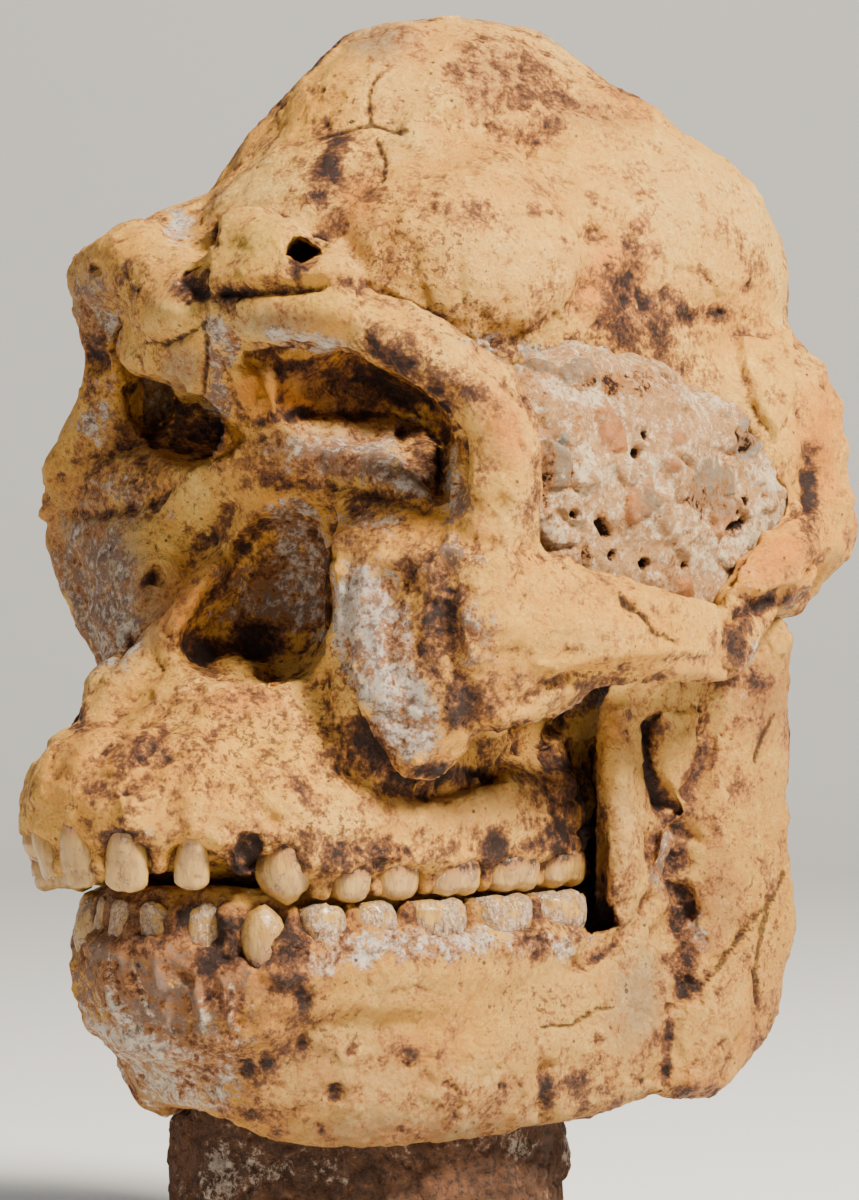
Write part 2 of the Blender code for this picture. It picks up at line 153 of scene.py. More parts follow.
class Clay:
    """A piece being sculpted: its points in millimetres, and the layers painted on them.

    Strokes are drawn where the photograph shows them, as (across, down) places in it, and fall
    only on what it shows. Their widths and heights are millimetres of the real piece.
    """

    def __init__(self, node, voxel, smoothing, added=()):
        bm = bmesh.new()
        bm.from_mesh(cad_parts[node].data)
        for centre, radius in added:
            there = Matrix.Translation(Vector(centre) / 1000.0)
            bmesh.ops.create_icosphere(bm, subdivisions=2, radius=radius / 1000.0, matrix=there)
        joined = bpy.data.meshes.new("rough_" + node)
        bm.to_mesh(joined)
        bm.free()
        rough = in_scene("rough_" + node, joined)
        remesh = rough.modifiers.new("remesh", "REMESH")
        remesh.mode = "VOXEL"
        remesh.voxel_size = voxel / 1000.0
        graph = bpy.context.evaluated_depsgraph_get()
        self.mesh = bpy.data.meshes.new_from_object(rough.evaluated_get(graph))
        bpy.data.objects.remove(rough)
        self.node = node
        self.painted = {}
        self.read()
        self.relax(smoothing)
        self.look()
        self.refine()

    def read(self):
        self.points = np.empty(len(self.mesh.vertices) * 3)
        self.mesh.vertices.foreach_get("co", self.points)
        self.points = self.points.reshape(-1, 3) * 1000.0
        self.edges = np.empty(len(self.mesh.edges) * 2, dtype=np.int64)
        self.mesh.edges.foreach_get("vertices", self.edges)
        self.edges = self.edges.reshape(-1, 2)

    def write(self):
        self.mesh.vertices.foreach_set("co", (self.points / 1000.0).ravel())
        self.mesh.update()
        self.normals = np.empty(len(self.points) * 3)
        self.mesh.vertices.foreach_get("normal", self.normals)
        self.normals = self.normals.reshape(-1, 3)

    def mean_of_neighbours(self, values):
        a, b = self.edges.T
        count = len(values)
        shared = np.bincount(self.edges.ravel(), minlength=count)
        sums = [
            np.bincount(a, column[b], count) + np.bincount(b, column[a], count)
            for column in values.reshape(count, -1).T
        ]
        return (np.stack(sums, axis=1) / shared[:, None]).reshape(values.shape)

    def relax(self, rounds):
        """Smooths without shrinking: each inward pull is followed by a push out."""
        for _ in range(rounds):
            self.points += 0.5 * (self.mean_of_neighbours(self.points) - self.points)
            self.points -= 0.53 * (self.mean_of_neighbours(self.points) - self.points)
        self.write()

    def hollowness(self, rounds):
        """How far each point lies below the mean of its surroundings, in millimetres."""
        mean = self.points
        for _ in range(rounds):
            mean = self.mean_of_neighbours(mean)
        return np.einsum("ij,ij->i", mean - self.points, self.normals)

    def look(self):
        """Works out where the photograph shows each point, and whether it shows it at all."""
        self.write()
        near = self.points @ np.array(toward_camera)
        self.scale = FOCAL_PIXELS / (VIEW_DISTANCE - near)
        self.u = PHOTO_WIDTH / 2 + self.points @ np.array(photo_right) * self.scale
        self.v = PHOTO_HEIGHT / 2 - (self.points[:, 2] - BITE_HEIGHT - VIEW_HEIGHT) * self.scale
        self.sight = np.array(eye) * 1000.0 - self.points
        self.sight /= np.linalg.norm(self.sight, axis=1)[:, None]
        facing = np.einsum("ij,ij->i", self.sight, self.normals)
        polygons = [tuple(polygon.vertices) for polygon in self.mesh.polygons]
        tree = BVHTree.FromPolygons([Vector(p) for p in self.points], polygons)
        self.seen = facing > 0.02
        for i in np.flatnonzero(self.seen):
            start = Vector(self.points[i] + self.normals[i] * 0.8)
            if tree.ray_cast(start, Vector(self.sight[i]))[0] is not None:
                self.seen[i] = False
        self.shown = self.seen * eased(facing, 0.0, 0.22)
        self.ragged = 2.0 * cloud(self.points, 4.0, 99, 4) - 1.0

    def refine(self):
        """Halves the mesh where the photograph shows the piece."""
        bm = bmesh.new()
        bm.from_mesh(self.mesh)
        bm.verts.ensure_lookup_table()
        seen = self.seen
        edges = {
            edge
            for face in bm.faces
            if any(seen[vert.index] for vert in face.verts)
            for edge in face.edges
        }
        bmesh.ops.subdivide_edges(bm, edges=list(edges), cuts=1, use_grid_fill=True, smooth=0.0)
        bm.to_mesh(self.mesh)
        bm.free()
        self.read()
        self.relax(2)
        self.look()

    def push(self, amount):
        """Moves each point out along the surface's own direction."""
        self.points += self.normals * np.asarray(amount)[:, None]

    def near_path(self, path):
        """Distance to a drawn path in millimetres, the side of it, and how far along, per point."""
        distance = np.full(len(self.u), 1e6)
        side = np.zeros(len(self.u))
        along = np.zeros(len(self.u))
        lengths = [math.dist(a, b) for a, b in zip(path, path[1:])]
        whole, done = sum(lengths), 0.0
        for (a, b), length in zip(zip(path, path[1:]), lengths):
            du, dv = (b[0] - a[0]) / length, (b[1] - a[1]) / length
            ru, rv = self.u - a[0], self.v - a[1]
            t = np.clip(ru * du + rv * dv, 0.0, length)
            gap = np.hypot(ru - t * du, rv - t * dv)
            closer = gap < distance
            distance = np.where(closer, gap, distance)
            side = np.where(closer, np.sign(ru * dv - rv * du), side)
            along = np.where(closer, (done + t) / whole, along)
            done += length
        return np.where(self.seen, distance / self.scale, 1e6), side, along

    def inside(self, outline, ragged=0.7):
        """Depth inside a drawn outline in millimetres, and less than 0 outside it."""
        distance, _, _ = self.near_path([*outline, outline[0]])
        within = np.zeros(len(self.u), dtype=bool)
        for (ua, va), (ub, vb) in zip(outline, outline[1:] + outline[:1]):
            crosses = (va > self.v) != (vb > self.v)
            level = vb - va if vb != va else 1e-9
            within ^= crosses & (self.u < (ub - ua) * (self.v - va) / level + ua)
        signed = np.where(within, distance, -distance)
        return np.where(self.seen, signed + ragged * self.ragged, -1e6)

    def in_patch(self, u, v, across, down=None, turn=0.0):
        """1 in the middle of a drawn oval, easing to 0 at its ragged edge."""
        c, s = math.cos(math.radians(turn)), math.sin(math.radians(turn))
        du, dv = self.u - u, self.v - v
        far = np.hypot((du * c + dv * s) / across, (dv * c - du * s) / (down or across))
        return self.shown * (1.0 - eased(far + 0.25 * self.ragged, 0.15, 1.25))

    def near_line(self, path, width):
        """1 on a drawn path, easing to 0 away from it and toward its ends."""
        distance, _, along = self.near_path(path)
        taper = eased(along, -0.01, 0.10) * eased(-along, -1.01, -0.90)
        return self.shown * taper * np.exp(-((distance / width) ** 2))

    def swell(self, height, *patch):
        self.push(height * self.in_patch(*patch))

    def groove(self, depth, width, path):
        self.push(-depth * self.near_line(path, width))

    def ridge(self, height, width, path):
        self.push(height * self.near_line(path, width))

    def raise_area(self, height, outline, edge=0.5):
        self.push(self.shown * height * eased(self.inside(outline), -edge, edge))

    def dig(self, depth, outline, wall=1.5, ragged=0.7):
        """Sinks an area straight away from the eye, so that its walls stay steep."""
        share = eased(self.inside(outline, ragged), 0.0, wall)
        self.points -= self.sight * (depth * self.seen * share)[:, None]

    def crack(self, path):
        """A fine split: a narrow groove, and its distance painted for the material."""
        distance, _, along = self.near_path(path)
        distance = distance + 0.25 * self.ragged
        self.painted["crack"] = np.minimum(self.painted["crack"], np.abs(distance))
        self.groove(0.45, 0.55, path)

    def paint(self, layer, value, share):
        """Moves a layer toward a value by a share per point."""
        values = self.painted[layer]
        if values.ndim == 2:
            values += share[:, None] * (np.array(value) - values)
        else:
            values += share * (value - values)

    def paint_patches(self, layer, value, patches, strength=1.0):
        for patch in patches:
            self.paint(layer, value, strength * self.in_patch(*patch))

    def keep_within(self, margin=2.0):
        """Eases the farthest points back, so that nothing reaches past the solids' own box."""
        for axis in range(3):
            low, high = (corner[axis] * 1000.0 for corner in cad_box)
            for edge, sign in ((low, -1.0), (high, 1.0)):
                over = sign * (self.points[:, axis] - edge) + margin
                eased_over = margin * np.tanh(np.maximum(over, 0.0) / margin) * 0.98
                change = np.where(over > 0.0, eased_over - over, 0.0)
                if not (axis == 2 and sign < 0):
                    self.points[:, axis] += sign * change
        self.points[:, 2] = np.maximum(self.points[:, 2], 0.0)

    def paint_area(self, layer, value, outline, strength=1.0):
        self.paint(layer, value, strength * self.shown * eased(self.inside(outline), -0.8, 1.0))

    def finish(self, name, material):
        self.keep_within()
        self.write()
        for layer, values in self.painted.items():
            kind = "FLOAT_VECTOR" if values.ndim == 2 else "FLOAT"
            attribute = self.mesh.attributes.new(layer, kind, "POINT")
            attribute.data.foreach_set("vector" if values.ndim == 2 else "value", values.ravel())
        self.mesh.materials.clear()
        self.mesh.materials.append(material)
        piece = in_scene(name, self.mesh)
        self.mesh.calc_loop_triangles()
        triangles = len(self.mesh.loop_triangles)
        if triangles > MOST_TRIANGLES:
            thin = piece.modifiers.new("thin", "DECIMATE")
            thin.ratio = MOST_TRIANGLES / triangles
            graph = bpy.context.evaluated_depsgraph_get()
            piece.data = bpy.data.meshes.new_from_object(piece.evaluated_get(graph))
            piece.modifiers.clear()
        piece.data.shade_smooth()
        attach(piece, "root")
        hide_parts(self.node)
        piece.data.calc_loop_triangles()
        print(name, len(piece.data.loop_triangles), "triangles")
        return piece


class Finish:
    """A material's nodes, joined by short calls. Places in it are in millimetres."""

    def __init__(self, name):
        self.material = bpy.data.materials.new(name)
        self.material.use_nodes = True
        self.tree = self.material.node_tree
        self.shader = self.tree.nodes["Principled BSDF"]
        where = self.add("ShaderNodeTexCoord")
        self.place = self.add("ShaderNodeVectorMath", operation="SCALE")
        self.tree.links.new(where.outputs["Object"], self.place.inputs[0])
        self.place.inputs["Scale"].default_value = 1000.0
        self.place = self.place.outputs[0]

    def add(self, kind, **settings):
        node = self.tree.nodes.new(kind)
        for key, value in settings.items():
            setattr(node, key, value)
        return node

    def feed(self, socket, value):
        if isinstance(value, bpy.types.NodeSocket):
            self.tree.links.new(value, socket)
        else:
            socket.default_value = value

    def layer(self, name, vector=False):
        node = self.add("ShaderNodeAttribute", attribute_name=name)
        return node.outputs["Vector" if vector else "Fac"]

    def cloud(self, size, detail=5.0, roughness=0.6, stretch=(1, 1, 1), offset=0.0):
        """Noise with lumps of this size in millimetres."""
        scaled = self.add("ShaderNodeVectorMath", operation="MULTIPLY_ADD")
        self.feed(scaled.inputs[0], self.place)
        scaled.inputs[1].default_value = [1.0 / (size * k) for k in stretch]
        scaled.inputs[2].default_value = (offset, offset, offset)
        node = self.add("ShaderNodeTexNoise")
        self.feed(node.inputs["Vector"], scaled.outputs[0])
        node.inputs["Scale"].default_value = 1.0
        node.inputs["Detail"].default_value = detail
        node.inputs["Roughness"].default_value = roughness
        return node.outputs["Fac"]

    def cells(self, size, feature="F1", randomness=1.0):
        node = self.add("ShaderNodeTexVoronoi", feature=feature)
        self.feed(node.inputs["Vector"], self.place)
        node.inputs["Scale"].default_value = 1.0 / size
        node.inputs["Randomness"].default_value = randomness
        return node

    def spread(self, noise, low=0.34, high=0.66):
        """Noise stretched to run evenly from 0 to 1."""
        return self.between(noise, low, high)

    def plus(self, a, noise, strength):
        """A value with noise of 0 to 1 swinging it up and down by half of this strength."""
        return self.math("ADD", a, self.math("MULTIPLY", self.math("SUBTRACT", noise, 0.5), strength))

    def math(self, operation, a, b=0.0, c=0.0):
        node = self.add("ShaderNodeMath", operation=operation)
        for socket, value in zip(node.inputs, (a, b, c)):
            self.feed(socket, value)
        return node.outputs[0]

    def between(self, value, low, high, to_low=0.0, to_high=1.0):
        node = self.add("ShaderNodeMapRange", interpolation_type="SMOOTHSTEP")
        for socket, entry in zip(node.inputs, (value, low, high, to_low, to_high)):
            self.feed(socket, entry)
        return node.outputs[0]

    def mix(self, share, a, b, blend="MIX"):
        node = self.add("ShaderNodeMix", data_type="RGBA", blend_type=blend)
        self.feed(node.inputs[0], share)
        for socket, value in zip(node.inputs[6:8], (a, b)):
            self.feed(socket, (*value, 1.0) if isinstance(value, tuple) else value)
        return node.outputs[2]

    def bump(self, height, distance, below=None):
        node = self.add("ShaderNodeBump")
        node.inputs["Strength"].default_value = 1.0
        node.inputs["Distance"].default_value = distance / 1000.0
        self.feed(node.inputs["Height"], height)
        if below is not None:
            self.feed(node.inputs["Normal"], below)
        return node.outputs[0]

    def surface(self, colour, roughness, normal):
        self.feed(self.shader.inputs["Base Color"], colour)
        self.feed(self.shader.inputs["Roughness"], roughness)
        self.feed(self.shader.inputs["Normal"], normal)
        return self.material


STAND_BROWN = (0.105, 0.046, 0.022)
STAND_RED = (0.20, 0.085, 0.040)
STAND_CRUST = (0.46, 0.37, 0.29)
STAND_DARK = (0.022, 0.010, 0.006)

cast = Finish("rough_cast")
lumps = cast.spread(cast.cloud(8.0, 7.0, 0.7))
grit = cast.spread(cast.cloud(1.4, 6.0, 0.75))
colour = cast.mix(lumps, STAND_BROWN, STAND_RED)
colour = cast.mix(cast.between(grit, 0.0, 0.55, 0.85, 0.0), colour, STAND_DARK)
white = cast.plus(cast.plus(cast.layer("crust"), lumps, 0.6), grit, 0.8)
colour = cast.mix(cast.between(white, 0.50, 0.85, 0.0, 0.9), colour, STAND_CRUST)
normal = cast.bump(lumps, 0.6)
normal = cast.bump(grit, 0.5, normal)
cast.shader.inputs["Specular IOR Level"].default_value = 0.3
cast_material = cast.surface(colour, cast.between(grit, 0.0, 1.0, 0.8, 0.97), normal)

stand = Clay("stand", 1.8, 4)
above_foot = eased(stand.points[:, 2], 1.5, 7.0)
stand.push(above_foot * 2.4 * (cloud(stand.points, 14.0, 3) - 0.5))
stand.write()
near, next_near, _ = pebbles(stand.points, 5.0, 11)
stand.push(above_foot * (0.9 * eased(next_near - near, 0.0, 1.6) - 0.7))
stand.push(above_foot * 0.8 * (cloud(stand.points, 2.2, 5, 3) - 0.5))
stand.painted["crust"] = 0.55 * cloud(stand.points, 12.0, 9) * eased(stand.points[:, 2], 20.0, 50.0)
stand.look()
stand.paint_patches("crust", 0.62, [(215, 1175, 50, 40), (300, 1170, 90, 24), (567, 1155, 14, 26),
                                    (520, 1150, 30, 16)])
stand.paint_patches("crust", -0.1, [(185, 1150, 18, 40), (460, 1185, 90, 26)])
stand.finish("cast_post", cast_material)


# Jaw.
# The lower jaw, one bone of two rows of sockets and two upright branches, turned to stone. Its
# chin is still under purple matrix and its branches are cracked and chipped.

BONE_CREAM = (0.90, 0.50, 0.085)
BONE_PALE = (0.95, 0.60, 0.15)
BONE_YELLOW = (0.90, 0.46, 0.045)
BONE_ORANGE = (0.78, 0.27, 0.022)
BONE_TAN = (0.46, 0.235, 0.075)
BONE_GREY = (0.38, 0.29, 0.19)
STAIN_RUST = (0.44, 0.165, 0.035)
STAIN_UMBER = (0.145, 0.050, 0.018)
STAIN_DARK = (0.030, 0.011, 0.006)
MATRIX_PURPLE = (0.24, 0.140, 0.095)
MATRIX_WHITE = (0.70, 0.58, 0.46)


def bone_finish(name):
    """Bone stained through, and painted with shade in its deepest places: each painted layer is a density,
    and noise breaks it into grains.
    """
    bone = Finish(name)
    broad = bone.spread(bone.cloud(15.0, 3.0, 0.5))
    patchy = bone.spread(bone.cloud(5.0, 8.0, 0.70))
    other = bone.spread(bone.cloud(4.0, 8.0, 0.72, offset=23.0))
    fine = bone.spread(bone.cloud(0.9, 5.0, 0.75))
    colour = bone.layer("tint", vector=True)
    colour = bone.mix(bone.math("MULTIPLY", other, 0.60), colour, (0.90, 0.68, 0.42), "MULTIPLY")
    colour = bone.mix(bone.math("MULTIPLY", broad, 0.35), colour, (0.92, 0.72, 0.50), "MULTIPLY")
    colour = bone.mix(bone.between(fine, 0.55, 1.0, 0.0, 0.5), colour, (0.74, 0.50, 0.30), "MULTIPLY")
    matrix = bone.plus(bone.plus(bone.layer("matrix"), other, 0.75), fine, 0.5)
    cover = bone.between(matrix, 0.42, 0.66)
    grain = bone.plus(bone.spread(bone.cloud(1.6, 6.0, 0.75, offset=5.0)), bone.layer("whiteness"), 0.9)
    colour = bone.mix(cover, colour, bone.mix(bone.between(grain, 0.15, 0.85), MATRIX_PURPLE, MATRIX_WHITE))
    stain_and_shade = bone.plus(bone.plus(bone.layer("stain_and_shade"), patchy, 0.80), fine, 0.45)
    stain_and_shade = bone.plus(stain_and_shade, broad, 0.20)
    colour = bone.mix(bone.between(stain_and_shade, 0.24, 0.56, 0.0, 0.80), colour, STAIN_RUST)
    colour = bone.mix(bone.between(stain_and_shade, 0.50, 0.84, 0.0, 0.95), colour, STAIN_UMBER)
    colour = bone.mix(bone.between(stain_and_shade, 0.84, 1.20), colour, STAIN_DARK)
    specks = bone.plus(bone.spread(bone.cloud(1.3, 5.0, 0.75, offset=31.0)), bone.layer("speckle"), 0.45)
    specks = bone.between(specks, 0.94, 1.08, 0.0, 0.85)
    colour = bone.mix(specks, colour, STAIN_UMBER)
    crack = bone.between(bone.plus(bone.layer("crack"), fine, 0.35), 0.02, 0.34, 1.0, 0.0)
    colour = bone.mix(bone.math("MULTIPLY", crack, 0.75), colour, STAIN_DARK)
    # Small pits, dented by the bump and painted dark: painted shade in them.
    pit = bone.plus(bone.cells(2.6).outputs["Distance"], patchy, 0.5)
    pit = bone.between(pit, -0.12, -0.04, 0.8, 0.0)
    colour = bone.mix(pit, colour, STAIN_DARK)
    normal = bone.bump(patchy, 0.45)
    normal = bone.bump(other, 0.35, normal)
    normal = bone.bump(fine, 0.22, normal)
    normal = bone.bump(bone.math("ADD", crack, pit), -0.4, normal)
    bone.shader.inputs["Specular IOR Level"].default_value = 0.35
    rough = bone.math("ADD", bone.between(fine, 0.0, 1.0, 0.46, 0.66), bone.math("MULTIPLY", cover, 0.22))
    return bone.surface(colour, rough, normal)


def blend_of(share, a, b):
    """Mixes two colours by a share per point."""
    return (1.0 - share)[:, None] * np.array(a) + share[:, None] * np.array(b)


TOOTH_KINDS = ("incisor_1", "incisor_2", "canine", "premolar_1", "premolar_2", "molar_1", "molar_2",
               "molar_3")


def tooth_row(row):
    """Name, middle and outward direction of each tooth, from the last left molar to the last right."""
    names = [f"{row}_left_{kind}" for kind in reversed(TOOTH_KINDS)]
    names += [f"{row}_right_{kind}" for kind in TOOTH_KINDS]
    middles = [sum((Vector(corner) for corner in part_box(name)), Vector()) * 500.0 for name in names]
    outward = []
    for i in range(len(names)):
        along = middles[min(i + 1, len(names) - 1)] - middles[max(i - 1, 0)]
        outward.append(Vector((-along.y, along.x, 0.0)).normalized())
    return list(zip(names, middles, outward))


GUM_ROLL = 3.3
PLUG = 2.4
PLUG_OF_MOLAR = 1.9
WALL_OF_TOOTH = {"incisor_1": 3.2, "incisor_2": 3.2, "canine": 4.6, "premolar_1": 5.4, "premolar_2": 5.7}
WALL_OF_MOLAR = 6.5


def gum_of(row, up, gum):
    """Balls of matrix packed round a row of teeth: a roll at the necks, and a plug in each gap."""
    balls = []
    teeth = tooth_row(row)
    for (name, middle, outward), (_, next_middle, next_outward) in zip(teeth, teeth[1:]):
        kind = "_".join(name.split("_")[2:])
        wall = WALL_OF_TOOTH.get(kind, WALL_OF_MOLAR)
        for share in (0.0, 0.25, 0.5, 0.75):
            reach = wall - (1.3 if wall > 5.0 else 2.3)
            spot = middle.lerp(next_middle, share) + outward.lerp(next_outward, share) * reach
            uneven = random_of(np.array([[share * 40, len(balls), up + 5]]), 3)[0] - 0.5
            spot.z = BITE_HEIGHT + up * (gum[kind] + GUM_ROLL - 0.7 + 1.4 * uneven)
            balls.append((spot, GUM_ROLL + 0.6 * uneven))
            balls.append((spot + Vector((0, 0, up * 4.0)) - outward * 0.8, GUM_ROLL + 0.6))
            balls.append((spot + Vector((0, 0, up * 8.0)) - outward * 2.0, GUM_ROLL + 0.6))
        lowest = 6.0 if up > 0 and wall < 5.0 else 1.3
        for height in (0.9, 0.7, 0.5, 0.3, 0.1):
            gap = middle.lerp(next_middle, 0.5) + outward.lerp(next_outward, 0.5) * (wall - 3.1)
            gap.z = BITE_HEIGHT + up * max(lowest, 1.3 + height * gum[kind])
            balls.append((gap, PLUG if wall < 5.0 else PLUG_OF_MOLAR))
    if up < 0:
        for (_, middle, outward), (_, next_middle, _) in zip(teeth, teeth[1:]):
            for share in (0.0, 0.5):
                inner = middle.lerp(next_middle, share) - outward * 3.0
                inner.z = BITE_HEIGHT - 0.5
                balls.append((inner, 3.4))
    return balls


def neck_band_and_bite_shade(clay, up):
    """A darker band round the necks of a row of teeth on every side of the jaws, and painted shade near the
    bite, between the upper and lower jaws.
    """
    level = up * (clay.points[:, 2] - BITE_HEIGHT)
    path = np.array([tuple(middle) for _, middle, _ in tooth_row("upper" if up > 0 else "lower")])
    far = np.min(np.linalg.norm(clay.points[:, None, :2] - path[None, :, :2], axis=2), axis=1)
    band = eased(-np.abs(level - 5.5), -9.0, -2.0) * eased(-far, -15.0, -9.0)
    clay.painted["stain_and_shade"] += 0.55 * band * eased(cloud(clay.points, 7.0, 71, 3), 0.30, 0.75)
    # Painted shade: the bone just above and below the bite, between the two jaws, is darkened.
    between_teeth = eased(-np.abs(level - 2.0), -4.5, -1.0) * eased(-far, -13.0, -8.0)
    clay.painted["tint"] = blend_of(0.7 * between_teeth, (1, 1, 1), (0.62, 0.52, 0.45)) * clay.painted["tint"]
    clay.painted["stain_and_shade"] += 0.14 * between_teeth
    clay.push(1.3 * band * (cloud(clay.points, 3.5, 72, 3) - 0.5))


def base_bone(clay, seed):
    """Bone's own colour, and on the sides that no view shows, the same kinds of marks by chance."""
    hidden = 1.0 - clay.shown
    broad = eased(cloud(clay.points, 34.0, seed), 0.40, 0.62)
    clay.painted["tint"] = blend_of(broad, BONE_CREAM, BONE_PALE)
    low = eased(cloud(clay.points, 40.0, seed + 10), 0.42, 0.62)
    clay.painted["tint"] = blend_of(hidden * low * 0.5, (1, 1, 1), BONE_TAN) * clay.painted["tint"]
    stain_and_shade = eased(cloud(clay.points, 20.0, seed + 20), 0.48, 0.68)
    clay.painted["stain_and_shade"] = 0.02 + 0.34 * cloud(clay.points, 22.0, seed + 60) + 0.6 * stain_and_shade * hidden
    clay.painted["matrix"] = 0.85 * eased(cloud(clay.points, 26.0, seed + 30), 0.56, 0.68) * hidden
    clay.painted["whiteness"] = 2.0 * cloud(clay.points, 15.0, seed + 35) - 0.7
    clay.painted["speckle"] = cloud(clay.points, 18.0, seed + 40)
    bent = clay.points + 2.5 * cloud(clay.points, 6.0, seed, 3)[:, None]
    near, next_near, _ = pebbles(bent, 38.0, seed)
    masked = 6.0 * eased(-cloud(clay.points, 18.0, seed + 50), -0.50, -0.40)
    clay.painted["crack"] = 9.0 * clay.shown + next_near - near + masked


def roughen(clay, seed, broad, fine):
    """Low swells and a worn grain all over, and patches where a thin skin of bone has flaked away."""
    clay.write()
    clay.push(broad * (cloud(clay.points, 9.0, seed) - 0.5) + fine * (cloud(clay.points, 2.4,
                                                                            seed + 1) - 0.5))
    for size, depth, number in ((16.0, 0.45, 2), (8.0, 0.30, 3)):
        flaked = eased(cloud(clay.points, size, seed + number, 5), 0.53, 0.56)
        clay.push(-depth * flaked)
        clay.painted["tint"] = blend_of(0.5 * flaked, (1, 1, 1), (0.93, 0.82, 0.66)) * clay.painted["tint"]


def darken_hollows(clay):
    """Darker in the hollows and paler on the raised edges, and a rough crust where the painted layers are
    thick.
    """
    clay.write()
    small, large = clay.hollowness(3), clay.hollowness(18)
    stain_and_shade = clay.painted["stain_and_shade"]
    stain_and_shade += 0.42 * eased(small, 0.02, 0.28) + 0.34 * eased(large, 0.4, 2.4)
    stain_and_shade -= 0.22 * eased(-small, 0.04, 0.32)
    thick = np.clip(stain_and_shade + clay.painted["matrix"], 0.0, 1.2)
    clay.push(1.1 * thick * (cloud(clay.points, 2.2, 91, 3) - 0.5))


jaw_bone = bone_finish("jaw_bone")
# The lower jaw's colour is darkened all over, a little toward grey: painted shade, for the weaker light low
# on the piece
JAW_PAINTED_SHADE = (0.76, 0.74, 0.72)
# Matrix that fills the space between the last molar and the upright branch
BEHIND_MOLARS = [(Vector((side * x, y, BITE_HEIGHT + z)), 8.0)
                 for side in (1, -1) for x, y, z in ((30, 8, -6), (30, 9, 2), (31, 10, 10), (31, 10, 18))]
LOWER_GUM = dict(zip(TOOTH_KINDS, (5.5, 6.0, 9.0, 4.6, 4.6, 5.0, 5.6, 5.0)))
jaw = Clay("jaw", 1.2, 5, gum_of("lower", -1, LOWER_GUM) + BEHIND_MOLARS)
base_bone(jaw, 60)

# The front edge of the branch is a splinter that stands clear in a slot, sunk deep and painted dark as its
# shade
SLOT = [(545, 800), (560, 728), (592, 722), (594, 775), (606, 808), (610, 848), (608, 894), (622, 926),
        (590, 934), (562, 905), (556, 850)]
jaw.dig(6.0, SLOT, 1.2)
jaw.dig(2.2, [(643, 712), (660, 712), (662, 770), (680, 800), (686, 815), (664, 830), (652, 870),
              (646, 882), (643, 852), (645, 802)], 0.8)
jaw.groove(2.6, 1.5, [(650, 716), (654, 750), (660, 786), (668, 812)])
jaw.groove(2.2, 1.9, [(672, 815), (690, 840), (672, 880), (690, 910), (668, 935), (690, 985), (676, 1005)])
jaw.groove(1.0, 1.0, [(676, 1001), (672, 1040), (664, 1090)])
jaw.raise_area(0.7, [(664, 711), (704, 711), (702, 740), (694, 775), (680, 794), (668, 785), (663, 750)], 0.4)
jaw.groove(1.2, 1.6, [(704, 712), (706, 745), (698, 780), (682, 800)])
jaw.ridge(0.8, 2.6, [(615, 735), (622, 790), (628, 850), (620, 905)])
jaw.groove(1.1, 1.2, [(563, 976), (590, 962), (606, 950), (640, 924), (655, 890)])

# Lobe at the angle, split from the branch
jaw.crack([(786, 869), (772, 900), (750, 925), (731, 949), (716, 970), (701, 985)])
jaw.crack([(768, 905), (758, 940), (753, 970), (756, 1010)])
jaw.crack([(778, 715), (765, 738), (757, 762)])
jaw.raise_area(0.8, [(786, 869), (800, 900), (790, 990), (762, 1050), (720, 1085), (690, 1092), (677, 1040),
                     (683, 1000), (701, 985), (731, 949), (760, 915)], 0.6)
jaw.swell(0.9, 720, 1020, 34, 50, 25)
jaw.swell(-0.8, 640, 1000, 34, 50, 10)

# Body and chin
jaw.crack([(540, 1028), (551, 1025), (572, 1026), (585, 1017), (600, 1008), (618, 1007)])
jaw.groove(1.6, 1.4, [(553, 1058), (545, 1075), (548, 1095), (539, 1125)])
jaw.swell(-0.9, 575, 1080, 22, 26)
jaw.swell(0.5, 430, 1000, 110, 34, -6)
for ridge_path in ([(118, 950), (128, 985), (140, 1010), (150, 1030)],
                   [(150, 935), (158, 975), (166, 1010), (172, 1040)],
                   [(196, 960), (198, 995), (204, 1028)], [(105, 960), (112, 1000), (125, 1030)],
                   [(222, 975), (226, 1005), (235, 1030)]):
    jaw.ridge(1.0, 0.9, ridge_path)
for pit in ((304, 1001, 15, 13), (304, 1045, 9), (352, 1048, 8, 13, 20), (411, 1057, 13, 15), (267, 1064, 9),
            (244, 1070, 10), (336, 1094, 12), (247, 1116, 16, 8)):
    jaw.swell(-0.6, *pit)
roughen(jaw, 61, 1.1, 0.45)

jaw.look()
jaw.paint_patches("tint", BONE_CREAM, [(440, 1010, 110, 40), (740, 830, 50, 150)], 0.8)
jaw.paint_patches("tint", BONE_PALE, [(400, 990, 60, 24), (640, 1010, 34, 90, 15), (720, 1000, 30, 60, 25)],
                  0.8)
jaw.paint_patches("tint", BONE_GREY, [(150, 1050, 70, 80), (640, 1000, 40, 70, 10), (430, 1130, 130, 26)],
                  0.7)
jaw.paint_patches("tint", BONE_TAN, [(360, 1135, 110, 20), (720, 900, 26, 60), (250, 980, 60, 24),
                                     (760, 700, 40, 50)], 0.7)
jaw.paint_patches("tint", BONE_ORANGE, [(255, 975, 50, 20), (322, 1075, 22, 40), (700, 1085, 40, 18),
                                        (615, 730, 16, 30)], 0.55)
jaw.paint_patches("matrix", 1.0, [(150, 940, 120, 70), (215, 985, 60, 60), (95, 930, 50, 90),
                                  (150, 1030, 110, 80)])
jaw.paint_patches("matrix", 0.75, [(190, 1080, 90, 60), (668, 860, 26, 70, 5), (690, 930, 24, 60),
                                   (420, 940, 170, 24),
                                   (330, 955, 60, 24), (560, 945, 40, 20)])
jaw.paint_patches("whiteness", 0.85, [(160, 1080, 110, 60), (440, 940, 170, 26), (110, 1030, 40, 60),
                                      (330, 955, 50, 26)])
